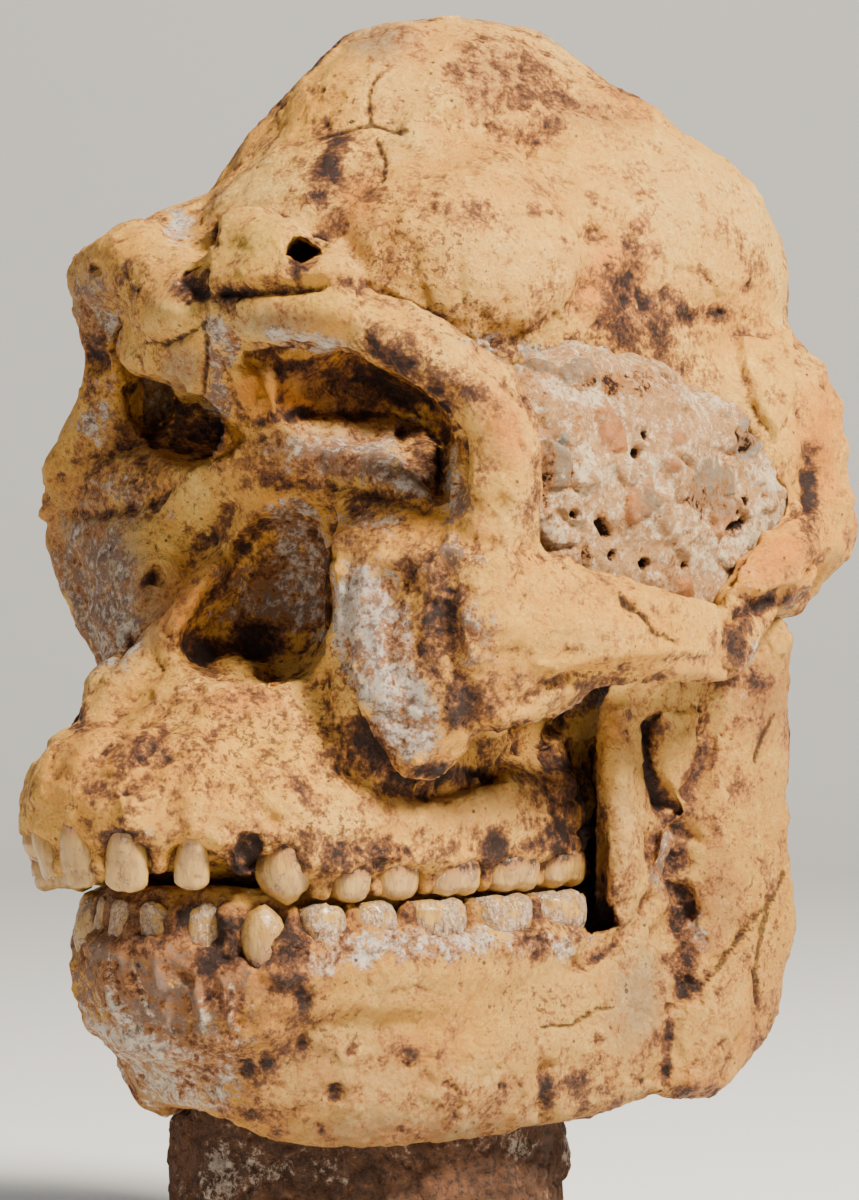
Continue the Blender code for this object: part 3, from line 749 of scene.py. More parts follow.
jaw.paint_patches("whiteness", -1.0, [(165, 950, 110, 60), (220, 960, 60, 40)])
# Painted shade: the whole jaw darkened
jaw.painted["tint"] *= JAW_PAINTED_SHADE
jaw.paint_patches("whiteness", 1.0, [(112, 985, 7, 50), (140, 990, 6, 44, -20), (205, 1010, 7, 30),
                                     (230, 1000, 6, 34)])
jaw.paint_patches("tint", (0.66, 0.42, 0.14), [(460, 1095, 190, 40), (330, 1060, 90, 60), (590, 850, 34, 90),
                                               (625, 820, 20, 90)], 0.6)
jaw.paint_patches("stain_and_shade", 0.50, [(180, 960, 120, 60), (165, 945, 110, 50), (260, 1060, 120, 70),
                                  (400, 1110, 190, 50), (616, 830, 16, 90), (640, 980, 40, 100, 10),
                                  (600, 1080, 70, 50), (700, 720, 110, 60), (720, 850, 60, 100),
                                  (620, 860, 26, 90)], 0.7)
jaw.paint_patches("stain_and_shade", 0.03, [(440, 1010, 100, 34), (400, 985, 60, 20), (640, 1000, 22, 60, 15),
                                  (740, 860, 24, 60, 10),
                                  (725, 1020, 26, 40, 25), (680, 745, 14, 30), (620, 800, 10, 60)], 0.85)
# Dark spots and stains; the two in the slot behind the splinter, at (580, 850) and (575, 740), are painted
# shade.
jaw.paint_patches("stain_and_shade", 0.84, [
    (304, 1001, 17, 15), (304, 1045, 9), (352, 1048, 8, 14, 20), (267, 1064, 10), (244, 1070, 12),
                                  (336, 1094, 13),
    (247, 1116, 18, 9), (274, 1138, 22, 7, -20), (321, 1130, 22, 12, 20), (181, 1091, 8),
                                  (548, 1090, 11, 34, 5),
    (575, 1085, 20, 24), (580, 850, 26, 90), (575, 740, 30, 30), (652, 750, 11, 46), (668, 815, 22, 16),
    (612, 950, 44, 10, -32), (652, 760, 12, 60), (678, 870, 18, 60, 5), (684, 950, 14, 60),
                                  (700, 1095, 40, 16), (770, 1040, 14, 30, 30), (668, 1045, 8, 50),
                                  (745, 680, 34, 26),
    (680, 900, 14, 60), (690, 985, 18, 26), (290, 982, 26, 12)])
jaw.paint_patches("stain_and_shade", 0.62, [(411, 1057, 14, 16), (730, 640, 60, 34), (170, 930, 90, 30),
                                  (230, 1000, 40, 22),
                                  (590, 1120, 40, 20), (205, 1040, 40, 12), (660, 990, 10, 60)])
# Painted shade: the whole slot behind the splinter painted dark.
jaw.paint_area("stain_and_shade", 1.0, SLOT)
jaw.paint_patches("speckle", 1.0, [(300, 1030, 90, 60), (540, 1000, 60, 30), (760, 930, 40, 100)])
neck_band_and_bite_shade(jaw, -1)
darken_hollows(jaw)
jaw.finish("jaw_bone", jaw_bone)


# Cranium.
# The braincase, brow, cheeks and upper jaw, one bone that the rock cracked and pressed out of true.
# Hollows and seams hold dark stain and patches of the matrix that it was cut from, and the deepest hollows
# are painted dark as shade.

skull_bone = bone_finish("skull_bone")
UPPER_GUM = dict(zip(TOOTH_KINDS, (10.0, 9.5, 8.2, 5.0, 5.4, 5.0, 5.2, 5.4)))
# The bored hole in the plate is made anew below, at the finer grain of this piece
HOLE_FILL = [(Vector((22.0, -57.0, 185.2)), 3.2), (Vector((19.4, -53.6, 185.2)), 3.6)]
cranium = Clay("cranium", 1.3, 5, gum_of("upper", 1, UPPER_GUM) + HOLE_FILL)
base_bone(cranium, 80)

# Vault: two swellings with a seam between them, and a broken, grained patch above
cranium.swell(1.8, 490, 240, 125, 105)
cranium.swell(1.8, 690, 205, 110, 125, 25)
cranium.groove(2.4, 3.4, [(535, 118), (552, 160), (572, 195), (600, 225), (628, 245), (640, 275), (655, 320)])
cranium.groove(1.4, 3.0, [(466, 345), (531, 343), (575, 310), (598, 268), (590, 215)])
cranium.groove(1.2, 2.6, [(302, 212), (340, 240), (370, 285), (410, 305), (460, 350)])
cranium.groove(1.8, 2.0, [(440, 120), (470, 117), (500, 128), (545, 143)])
cranium.ridge(1.1, 1.6, [(400, 134), (430, 118), (464, 98)])
cranium.swell(-1.0, 592, 108, 55, 14, 15)
cranium.swell(0.8, 398, 32, 28, 18)
cranium.crack([(378, 70), (369, 95), (371, 122)])
cranium.crack([(313, 141), (340, 131), (371, 124), (408, 135)])
cranium.crack([(376, 135), (386, 160), (383, 182)])
cranium.groove(0.4, 1.0, [(460, 241), (457, 278), (463, 310), (466, 339)])
for i in range(7):
    top = (478 + 12 * i, 84 + 5 * i)
    cranium.groove(0.35, 0.7, [(top[0] - 16, top[1] + 34), (top[0] - 5, top[1] + 12), top])
for i in range(6):
    top = (455 + 14 * i, 36 + 4 * i)
    cranium.groove(0.4, 0.9, [(top[0] - 12, top[1] + 46), top])

# Plate of the forehead, pushed up over the left brow, with a hole through it
PLATE = [(219, 222), (228, 213), (262, 212), (286, 222), (300, 234), (318, 238), (331, 246), (345, 262),
         (371, 281), (330, 284), (295, 286), (256, 288), (214, 291), (215, 255)]
cranium.raise_area(2.2, PLATE, 0.35)
cranium.swell(-1.2, 318, 243, 18, 16)
cranium.swell(-1.0, 296, 276, 8, 9)
cranium.swell(-0.8, 308, 252, 24, 20)
HOLE = [(305 + 16 * math.cos(t), 258 + 15 * math.sin(t)) for t in np.linspace(0.0, 2 * math.pi, 25)[:-1]]
cranium.dig(9.0, HOLE, 0.9, 0.0)
cranium.groove(1.3, 0.8, [(212, 292), (256, 291), (295, 288), (328, 285)])
cranium.ridge(1.0, 1.1, [(331, 236), (344, 260), (371, 279), (410, 302), (457, 348)])

# Left brow bar and the outer post of its eye socket
cranium.ridge(0.9, 4.5, [(238, 325), (300, 312), (350, 316), (400, 342), (450, 372), (490, 410), (517, 460),
                         (520, 520)])
cranium.groove(1.2, 1.4, [(480, 352), (520, 392), (552, 440), (560, 487), (554, 540)])
cranium.groove(2.6, 1.7, [(232, 357), (285, 356), (345, 362), (370, 379), (420, 404), (448, 436), (452, 470),
                          (446, 505)])

# Left eye socket: a knob of bone, a dark hollow and a stony floor with its own hollow
cranium.dig(3.0, [(272, 358), (348, 360), (371, 378), (419, 404), (445, 440), (400, 425), (330, 421),
                  (285, 428),
                  (268, 405), (272, 380)], 1.5)
cranium.dig(4.0, [(392, 410), (425, 420), (447, 445), (450, 470), (444, 500), (418, 484), (394, 455)], 1.2)
cranium.raise_area(1.8, [(228, 364), (245, 360), (262, 378), (275, 408), (270, 427), (252, 422), (238, 395)],
                   0.9)
cranium.swell(1.0, 305, 400, 24, 14, -20)
cranium.groove(1.3, 1.2, [(248, 478), (300, 487), (345, 484), (392, 491), (440, 507)])
for bump in ((285, 445, 26, 18), (330, 452, 26, 20), (372, 468, 22, 20), (345, 430, 20, 10)):
    cranium.swell(0.9, *bump)
for bump in ((250, 375, 16, 12), (262, 402, 16, 16), (246, 392, 10, 12), (300, 398, 18, 12),
             (340, 402, 20, 12),
             (272, 430, 16, 8)):
    cranium.swell(1.0, *bump)

# Root of the nose: a dark gap beside the plate, a pale knob and small broken pieces
cranium.dig(2.4, [(217, 228), (222, 250), (215, 290), (205, 306), (186, 294), (171, 274), (190, 266),
                  (211, 258)], 1.2)
cranium.groove(2.0, 0.9, [(220, 222), (217, 252)])
cranium.swell(1.4, 166, 315, 25, 25)
cranium.crack([(146, 344), (166, 345), (192, 332), (206, 322)])
cranium.crack([(204, 330), (207, 360), (203, 396)])
cranium.raise_area(0.7, [(160, 348), (192, 338), (202, 352), (200, 392), (182, 399), (163, 376)], 0.4)
cranium.raise_area(0.5, [(210, 300), (229, 316), (231, 350), (214, 362), (208, 330)], 0.4)

# Right brow, eye socket and cheek
cranium.swell(0.8, 95, 250, 32, 24)
cranium.swell(-1.6, 92, 269, 6, 7)
cranium.swell(-1.4, 112, 308, 22, 18)
cranium.groove(2.0, 1.6, [(76, 354), (92, 363), (108, 358)])
cranium.dig(4.5, [(118, 386), (135, 378), (165, 392), (200, 400), (243, 424), (250, 440), (226, 460),
                  (186, 465),
                  (150, 446), (128, 416)], 1.5)
cranium.swell(1.8, 38, 512, 15, 13)
cranium.groove(0.9, 1.2, [(60, 513), (105, 512), (140, 503), (178, 484)])
cranium.swell(-2.2, 155, 572, 8, 9)
cranium.ridge(0.6, 0.9, [(143, 578), (146, 563), (158, 559), (167, 568)])
cranium.groove(2.0, 2.2, [(236, 500), (188, 560), (138, 618), (96, 674)])
cranium.ridge(1.0, 2.6, [(262, 500), (208, 570), (160, 628), (112, 684)])

# Nose opening, with its sharp left crest and the bump of its sill
NOSE = [(258, 512), (300, 505), (325, 520), (336, 560), (336, 610), (324, 650), (308, 682), (268, 693),
        (262, 675),
        (240, 662), (215, 668), (200, 676), (176, 668), (166, 645), (190, 605), (215, 565), (240, 530)]
cranium.dig(5.0, NOSE, 3.0)
cranium.ridge(1.2, 1.0, [(333, 556), (340, 600), (330, 640), (312, 684)])
cranium.swell(1.4, 240, 674, 26, 13)

# Left cheek: a raised plate with an overhanging lower edge
cranium.raise_area(1.3, [(345, 575), (375, 552), (440, 545), (500, 556), (545, 560), (560, 552), (566, 546),
                         (577, 569), (599, 584), (625, 592), (693, 606), (720, 613), (724, 640), (712, 655),
                         (660, 655), (600, 664), (545, 680), (520, 700), (500, 745), (470, 772), (420, 787),
                         (395, 774), (372, 735), (350, 690), (342, 640)], 1.1)
cranium.groove(2.4, 1.7, [(372, 776), (395, 785), (417, 791), (447, 788), (481, 776), (502, 763), (517, 751),
                          (563, 726), (580, 708)])
cranium.groove(1.3, 1.8, [(350, 562), (337, 620), (344, 680), (368, 740), (388, 774)])
cranium.swell(-0.9, 350, 735, 20, 40, -20)
cranium.groove(0.6, 1.6, [(386, 560), (392, 600), (388, 650), (400, 700), (408, 740)])
cranium.groove(0.8, 1.4, [(452, 545), (448, 600), (455, 660), (470, 700), (468, 740)])

# Left cheek's arch, broken into plates, and the orange piece of its root
cranium.ridge(0.9, 1.3, [(577, 570), (599, 585), (625, 593), (693, 607), (720, 614)])
cranium.swell(0.9, 600, 632, 70, 24, 8)
cranium.raise_area(0.7, [(617, 598), (693, 606), (720, 613), (718, 636), (678, 642), (649, 633), (640, 619)],
                   0.3)
cranium.crack([(614, 594), (620, 605), (640, 619), (647, 631), (678, 641)])
cranium.ridge(0.7, 1.4, [(523, 668), (600, 655), (660, 648), (722, 641)])
cranium.swell(-1.0, 610, 682, 90, 14, 3)
cranium.groove(2.2, 2.2, [(727, 596), (738, 622), (740, 650), (724, 682)])
cranium.raise_area(1.9, [(729, 598), (742, 562), (766, 535), (814, 508), (823, 522), (819, 556), (800, 582),
                         (764, 597)], 0.5)
cranium.groove(1.4, 1.6, [(728, 606), (764, 604), (803, 590), (822, 560)])

# Loose flap behind the temple, and the knobbly nape
cranium.raise_area(1.6, [(737, 336), (760, 341), (790, 330), (792, 390), (774, 440), (754, 402), (743, 370)],
                   0.4)
cranium.groove(1.4, 1.6, [(800, 322), (801, 395), (815, 460), (812, 515)])
for bump in ((822, 372, 14), (842, 405, 16), (852, 448, 15), (848, 500, 18), (838, 545, 15)):
    cranium.swell(1.0, *bump)

# Snout, with slanted furrows on its right and the roots' ridges over the front teeth
for furrow in ([(135, 728), (165, 702), (204, 683)], [(142, 762), (166, 724), (198, 704)],
               [(108, 722), (128, 700), (152, 690)],
               [(92, 762), (108, 742), (126, 724)], [(120, 800), (150, 775), (170, 745)],
               [(205, 740), (225, 720), (250, 712)]):
    cranium.groove(0.8, 0.9, furrow)
for root in ([(84, 790), (88, 820)], [(128, 795), (130, 828)], [(194, 790), (194, 842)],
             [(288, 790), (284, 848)],
             [(48, 775), (42, 808)], [(342, 845), (342, 872)], [(387, 838), (386, 862)]):
    cranium.ridge(0.8, 1.8, root)
cranium.dig(1.6, [(240, 832), (262, 834), (266, 850), (258, 872), (243, 872), (236, 852)], 0.8)
cranium.groove(0.8, 2.0, [(320, 852), (380, 842), (440, 850), (500, 846), (548, 838)])
cranium.dig(2.0, [(533, 745), (566, 735), (600, 735), (606, 840), (590, 900), (566, 850), (552, 835),
                  (540, 800)], 1.5)
roughen(cranium, 81, 1.2, 0.45)

# Colours of the bone itself
cranium.look()
cranium.paint_patches("tint", BONE_YELLOW, [(260, 250, 50, 40), (330, 300, 60, 24, 10),
                                            (400, 320, 60, 14, 30), (120, 250, 60, 26, -20),
                                            (260, 760, 110, 60), (620, 640, 90, 40),
                                            (300, 110, 70, 90, -40)], 0.85)
cranium.paint_patches("tint", BONE_PALE, [(500, 270, 90, 60), (690, 200, 90, 110, 30), (380, 620, 34, 50),
                                          (600, 640, 60, 24),
                                          (160, 315, 22, 22), (470, 800, 80, 30), (520, 520, 30, 40)], 0.8)
cranium.paint_patches("tint", BONE_ORANGE, [(254, 394, 26, 34), (176, 605, 34, 66, 40),
                                            (780, 555, 50, 36, -30), (505, 430, 28, 50, -30),
                                            (590, 290, 24, 40, 20), (360, 195, 30, 30), (310, 402, 34, 16),
                                            (300, 395, 40, 20),
                                            (620, 280, 34, 60, -20), (240, 700, 60, 20), (820, 440, 30, 80)],
                      0.75)
cranium.paint_patches("tint", BONE_TAN, [(500, 80, 60, 44, 20), (590, 112, 60, 20, 15), (470, 800, 110, 34),
                                         (350, 385, 60, 26),
                                         (90, 520, 60, 90), (130, 440, 60, 40), (730, 690, 60, 26),
                                         (560, 780, 40, 60)], 0.6)
cranium.paint_patches("tint", BONE_GREY, [(270, 325, 60, 18), (90, 300, 30, 50), (330, 450, 80, 34),
                                          (180, 370, 30, 34),
                                          (130, 600, 50, 60), (380, 40, 40, 24), (115, 640, 26, 40),
                                          (90, 560, 60, 60)], 0.75)

# Matrix still on it, purple and white
cranium.paint_patches("matrix", 0.9, [
    (310, 340, 50, 10, 8), (385, 385, 50, 12, 30), (215, 340, 14, 50), (220, 400, 24, 22, 40),
                                      (178, 225, 20, 26), (190, 285, 20, 18),
    (310, 560, 22, 60, -10), (395, 700, 40, 55, -15), (350, 600, 14, 60), (440, 560, 50, 22),
                                      (505, 345, 50, 12, 10), (400, 430, 12, 40, 60),
    (446, 470, 10, 34), (105, 330, 20, 30), (460, 640, 24, 44), (118, 640, 26, 34), (760, 660, 26, 26),
                                      (340, 640, 10, 50)])
cranium.paint_patches("matrix", 0.6, [(330, 455, 70, 30), (370, 520, 60, 20), (250, 600, 50, 40),
                                      (290, 855, 40, 16), (130, 835, 34, 16)])
cranium.paint_patches("whiteness", 1.2, [(395, 690, 40, 60, -15), (310, 345, 40, 12), (320, 555, 16, 50),
                                         (340, 455, 60, 28), (505, 345, 50, 14, 10),
                                         (446, 480, 12, 40), (118, 640, 26, 34), (178, 225, 24, 24),
                                         (360, 605, 26, 50)])
cranium.paint_patches("whiteness", -0.6, [(440, 640, 30, 60), (440, 560, 40, 20), (250, 600, 50, 50)])

# Broad thin dirt, then iron-brown stain, and painted shade in the deepest places
cranium.paint_patches("matrix", 0.95, [
    (340, 458, 90, 30, 4), (415, 480, 50, 26, 10), (310, 560, 26, 70, -8), (395, 690, 48, 70, -18),
                                       (350, 610, 22, 70), (105, 620, 50, 70),
    (90, 560, 50, 70), (300, 340, 60, 14, 8), (232, 350, 16, 26)])
cranium.paint_patches("matrix", 0.62, [
    (250, 600, 60, 60), (430, 560, 70, 24), (470, 640, 34, 60), (120, 500, 60, 50), (100, 420, 40, 60),
                                       (455, 500, 30, 40), (90, 300, 30, 50),
    (600, 390, 90, 18, 10), (505, 345, 50, 14, 10), (280, 520, 50, 20)])
cranium.paint_patches("whiteness", 1.0, [(340, 455, 80, 26), (395, 690, 44, 66, -18), (350, 610, 22, 60),
                                         (300, 340, 60, 14, 8), (425, 480, 40, 20)])
cranium.paint_patches("whiteness", 0.2, [(100, 580, 70, 90), (250, 600, 50, 50)])
cranium.paint_patches("whiteness", 0.45, [(350, 460, 90, 34), (300, 560, 34, 70)])
cranium.paint_patches("matrix", 1.0, [(382, 640, 44, 90, -6), (405, 720, 46, 50, -20),
                                      (300, 570, 30, 70, -8), (275, 600, 40, 50)])
cranium.paint_patches("whiteness", 0.55, [(375, 640, 34, 90, -6), (405, 715, 34, 50, -20)])
# Painted shade: the left eye socket's stony floor made less white.
cranium.paint_patches("whiteness", 0.15, [(350, 460, 80, 30)])
# Painted light: a brighter yellow on the forehead plate, for the light falling on it.
cranium.paint_patches("tint", (0.96, 0.60, 0.10), [(255, 245, 44, 34), (330, 300, 60, 16, 10)], 0.9)
cranium.paint_patches("stain_and_shade", 0.55, [
    (190, 750, 130, 60, -35), (330, 760, 60, 70), (420, 850, 180, 30), (120, 470, 70, 50),
                                      (110, 400, 40, 60), (250, 560, 60, 70),
    (440, 640, 50, 80, 10), (500, 700, 60, 50), (620, 700, 110, 34), (300, 440, 110, 60), (570, 340, 90, 50),
                                      (660, 330, 60, 60), (400, 370, 80, 34, 35),
    (340, 170, 60, 60, -40), (520, 100, 90, 44, 20), (780, 620, 50, 50), (540, 470, 30, 90),
                                      (240, 300, 50, 50), (540, 780, 60, 80),
    (80, 340, 40, 60), (420, 600, 60, 60)], 0.75)
cranium.paint_patches("stain_and_shade", 0.02, [
    (500, 270, 70, 50), (700, 190, 80, 80), (600, 635, 80, 26), (470, 805, 70, 22), (255, 240, 36, 22),
                                      (330, 300, 50, 14, 10), (780, 540, 30, 24, -30),
    (520, 430, 16, 60, -25), (165, 315, 18, 18), (260, 740, 60, 40)], 0.8)
# Dark stain; the patches in the eye sockets at (400, 395), (425, 450) and (185, 430), under the cheek plate's
# lower edge at (370, 745), (430, 775) and (500, 740), and in the recess at (560, 800) are painted shade.
cranium.paint_patches("stain_and_shade", 1.0, [
    (630, 330, 42, 52, -10), (620, 280, 22, 30, -20), (700, 314, 46, 14, 0), (575, 372, 34, 16),
                                     (332, 165, 18, 30, 10),
    (318, 195, 14, 20, -20), (340, 140, 20, 9), (628, 243, 10), (592, 197, 12, 7, 30), (195, 285, 26, 24),
                                     (218, 238, 6, 18), (235, 298, 26, 9),
    (318, 243, 16, 12), (296, 276, 7, 8), (400, 395, 40, 24, 20), (425, 450, 24, 40, -20),
                                     (185, 430, 60, 30, 20), (96, 348, 16, 14),
    (92, 269, 6), (262, 640, 44, 30), (200, 650, 34, 26), (370, 745, 34, 40, -35), (430, 775, 70, 16),
                                     (440, 640, 24, 50, 10),
    (560, 800, 34, 70), (585, 705, 50, 12, -20), (660, 700, 70, 9, -5), (252, 850, 13, 20),
    (560, 545, 12, 30), (735, 640, 20, 36), (770, 605, 50, 10, -20), (810, 500, 14, 60),
                                     (150, 578, 18, 9, -40), (500, 740, 34, 16, -40),
    (395, 355, 34, 14, 35), (440, 395, 28, 12, 55), (120, 838, 26, 14), (80, 720, 16, 20, -40),
                                     (455, 700, 22, 34)])
cranium.paint_patches("stain_and_shade", 0.62, [
    (440, 846, 130, 12), (300, 835, 40, 12), (340, 385, 66, 26, 8),
    (500, 130, 46, 9, 15), (500, 70, 60, 40, 20), (590, 108, 55, 14, 15), (410, 345, 60, 14, 35),
                                      (440, 205, 14, 16), (486, 212, 24, 16, 20), (540, 212, 22, 9, -10),
    (650, 360, 70, 30), (152, 735, 50, 16, -40), (170, 705, 44, 12, -35), (120, 780, 40, 14, -50),
                                      (330, 720, 20, 50), (310, 790, 34, 16),
    (560, 690, 90, 16), (480, 400, 16, 34, -40), (380, 500, 60, 12), (240, 560, 24, 50, 30),
                                      (100, 512, 60, 9), (110, 450, 40, 14, -20),
    (540, 480, 9, 60), (430, 570, 34, 26), (700, 690, 50, 20), (130, 290, 26, 14), (160, 215, 12),
                                      (750, 286, 9)])
cranium.paint_patches("stain_and_shade", 0.0, [(600, 635, 70, 20), (470, 805, 70, 18), (255, 392, 20, 26)], 0.7)
cranium.paint_patches("speckle", 1.3, [(410, 250, 60, 60), (370, 195, 34, 40), (450, 320, 60, 24),
                                       (420, 360, 60, 30, 35), (560, 450, 16, 70),
                                       (260, 740, 110, 70), (330, 830, 60, 26), (620, 685, 90, 16)])
cranium.paint_patches("speckle", -0.5, [(690, 200, 80, 90), (610, 635, 60, 20), (470, 805, 70, 26)])
cranium.paint_patches("stain_and_shade", 0.12, [(375, 630, 26, 70, -6), (400, 700, 30, 50, -20), (410, 245, 50, 40)],
                      0.8)
# Painted shade in the left eye socket: its floor and hollow made darker and browner.
cranium.paint_patches("stain_and_shade", 0.40, [(340, 455, 90, 34, 4)], 0.8)
cranium.paint_patches("tint", BONE_TAN, [(345, 392, 70, 30, 8), (300, 372, 50, 14)], 0.9)
cranium.paint_patches("stain_and_shade", 0.80, [(360, 385, 60, 24, 14), (300, 368, 50, 12), (300, 415, 30, 12),
                                      (345, 420, 40, 12)], 0.85)
cranium.paint_patches("matrix", 1.0, [(300, 562, 24, 60, -8), (320, 600, 14, 60)])
cranium.paint_patches("stain_and_shade", 0.15, [(304, 570, 22, 60, -8)], 0.7)
# Painted shade: the bored hole's inside painted dark.
cranium.paint_area("stain_and_shade", 1.3, HOLE)
neck_band_and_bite_shade(cranium, 1)
darken_hollows(cranium)
cranium.finish("cranium_bone", skull_bone)


# Temple rock.
# Cave breccia, left in the two hollows behind the cheekbones: pink and white lime with pebbles of
# grey stone, orange clay and small dark holes.

ROCK_PINK = (0.46, 0.215, 0.085)
ROCK_BUFF = (0.74, 0.43, 0.19)
ROCK_WHITE = (0.86, 0.65, 0.41)
ROCK_GREY = (0.27, 0.20, 0.13)
ROCK_BLUE = (0.30, 0.29, 0.25)
ROCK_ORANGE = (0.55, 0.20, 0.06)

rock = Finish("breccia")
lime = rock.spread(rock.cloud(3.5, 8.0, 0.75))
grain = rock.spread(rock.cloud(0.9, 5.0, 0.75, offset=9.0))
colour = rock.mix(lime, ROCK_PINK, ROCK_BUFF)
white = rock.plus(rock.plus(rock.layer("whiteness"), rock.spread(rock.cloud(2.2, 7.0, 0.78, offset=3.0)),
                            1.1), grain, 0.5)
colour = rock.mix(rock.between(white, 0.30, 0.80), colour, ROCK_WHITE)
stone = rock.plus(rock.plus(rock.layer("stone"), lime, 0.5), grain, 0.3)
colour = rock.mix(rock.between(stone, 0.40, 0.75, 0.0, 0.9), colour, rock.layer("tint", vector=True))
stain_and_shade = rock.plus(rock.plus(rock.layer("stain_and_shade"), lime, 0.9), grain, 0.5)
colour = rock.mix(rock.between(stain_and_shade, 0.35, 0.70, 0.0, 0.8), colour, STAIN_RUST)
colour = rock.mix(rock.between(stain_and_shade, 0.70, 1.05), colour, STAIN_DARK)
# Small holes painted dark: painted shade in them.
hole = rock.plus(rock.cells(5.0).outputs["Distance"], lime, 0.4)
hole = rock.between(hole, -0.12, -0.06, 1.0, 0.0)
colour = rock.mix(hole, colour, STAIN_DARK)
normal = rock.bump(lime, 0.9)
normal = rock.bump(grain, 0.35, normal)
rock.shader.inputs["Specular IOR Level"].default_value = 0.25
rock_material = rock.surface(colour, 0.9, normal)

for side in ("left", "right"):
    temple = Clay(f"breccia_{side}_temple", 1.0, 4)
    temple.push(np.full(len(temple.points), 0.5))
    temple.write()
    near, next_near, label = pebbles(temple.points, 6.0, 21)
    temple.push(0.9 * eased(next_near - near, 0.0, 1.8) * (label > 0.4) - 0.3)
    temple.push(1.6 * (cloud(temple.points, 5.0, 23) - 0.5) + 0.7 * (cloud(temple.points, 1.8, 24, 2) - 0.5))
    temple.painted["whiteness"] = 0.9 * cloud(temple.points, 9.0, 25) - 0.05
    temple.painted["stone"] = 0.75 * eased(label, 0.90, 0.92)
    temple.painted["tint"] = blend_of(eased(label, 0.95, 0.96), ROCK_GREY, ROCK_ORANGE)
    temple.painted["stain_and_shade"] = 0.45 * cloud(temple.points, 8.0, 27)
    if side == "left":
        temple.dig(1.6, [(680, 450), (700, 436), (735, 450), (744, 480), (742, 520), (715, 535), (688, 525),
                         (676, 490)], 2.0)
        temple.raise_area(0.9, [(716, 412), (745, 403), (778, 440), (782, 468), (752, 466), (730, 440)], 0.6)
        temple.ridge(1.0, 1.1, [(704, 405), (728, 440), (751, 476), (775, 490), (804, 499)])
        temple.ridge(0.8, 1.0, [(676, 470), (664, 500), (668, 530), (690, 560)])
        for slit in ([(742, 429), (757, 443)], [(728, 432), (742, 455)],
                     [(722, 536), (732, 526), (748, 520)], [(598, 520), (609, 538)],
                     [(640, 560), (645, 568)]):
            temple.groove(2.0, 0.7, slit)
            temple.paint("stain_and_shade", 1.2, temple.near_line(slit, 0.9))
        # Holes dented in and painted dark: painted shade in them.
        for hole in ((644, 437, 5, 7), (636, 453, 5, 7), (611, 555, 7), (643, 562, 5), (744, 502, 5),
                     (572, 514, 5), (685, 566, 5)):
            temple.swell(-2.0, *hole)
            temple.paint("stain_and_shade", 1.2, temple.in_patch(*hole))
        for pebble in ((675, 439, 13, 11), (668, 465, 10, 12), (702, 392, 10, 8)):
            temple.swell(1.0, *pebble)
            temple.paint("stone", 1.3, temple.in_patch(*pebble))
            temple.paint("tint", ROCK_ORANGE, temple.in_patch(*pebble))
        for u, v, across, down, tint in ((708, 488, 34, 44, ROCK_GREY), (748, 436, 30, 34, ROCK_BLUE),
                                         (648, 502, 16, 20, ROCK_GREY),
                                         (560, 440, 10, 16, ROCK_BLUE)):
            temple.paint("tint", tint, temple.in_patch(u, v, across, down))
            temple.paint("stone", 1.0, temple.in_patch(u, v, across, down))
        temple.paint_patches("whiteness", 0.9, [(735, 545, 60, 24, -25), (712, 400, 34, 18),
                                                (580, 395, 60, 14, 15), (770, 480, 30, 12, 20)])
        temple.paint_patches("stain_and_shade", 0.7, [(620, 385, 60, 18), (575, 560, 26, 30), (545, 480, 9, 70),
                                            (700, 500, 24, 26)])
    temple.write()
    temple.painted["stain_and_shade"] += 0.5 * eased(temple.hollowness(4), 0.05, 0.5)
    temple.finish(f"temple_rock_{side}", rock_material)


# Teeth.
# Thirty-two worn teeth, each an enamel crown on a root in its own socket. They are brown at the
# neck, split by fine upright cracks, and pale where matrix still coats them.

ENAMEL_PALE = (0.42, 0.245, 0.060)
ENAMEL_TAN = (0.26, 0.125, 0.030)
ROOT_BROWN = (0.26, 0.11, 0.035)
COAT_BROWN = (0.32, 0.19, 0.12)
COAT_PALE = (0.62, 0.44, 0.27)
TOOTH_SIDES = 36
TOOTH_RINGS = 26
# Shares of length, width along the row and width across it, from the biting edge to the root's end
TOOTH_FORMS = {
    "incisor": [(0.0, 0.78, 0.20), (0.05, 0.96, 0.34), (0.18, 1.0, 0.46), (0.38, 0.95, 0.66),
                (0.56, 0.82, 0.86),
                (0.70, 0.68, 0.94), (0.84, 0.58, 0.84), (1.0, 0.42, 0.60)],
    "canine": [(0.0, 0.28, 0.26), (0.04, 0.55, 0.52), (0.12, 0.80, 0.76), (0.24, 0.96, 0.92),
               (0.36, 1.0, 1.0),
               (0.52, 0.88, 0.98), (0.70, 0.66, 0.86), (1.0, 0.44, 0.60)],
    "premolar": [(0.0, 0.64, 0.60), (0.04, 0.86, 0.80), (0.14, 0.98, 0.94), (0.32, 1.0, 1.0),
                 (0.52, 0.94, 0.98),
                 (0.68, 0.82, 0.88), (0.84, 0.72, 0.80), (1.0, 0.55, 0.60)],
    "molar": [(0.0, 0.76, 0.64), (0.04, 0.92, 0.82), (0.14, 1.0, 0.95), (0.34, 1.0, 1.0), (0.52, 0.97, 0.98),
              (0.68, 0.88, 0.88), (0.84, 0.82, 0.82), (1.0, 0.62, 0.62)],
}
# The incisors of the photographed side are worn narrow
WIDTH_SHARES = {"upper_left_incisor_1": 0.92, "upper_left_incisor_2": 0.88, "upper_left_premolar_1": 0.90}
# Matrix coats these more than the rest
COATED = ("lower_left_incisor", "lower_right_incisor", "lower_left_molar", "lower_left_premolar",
          "lower_right_canine")

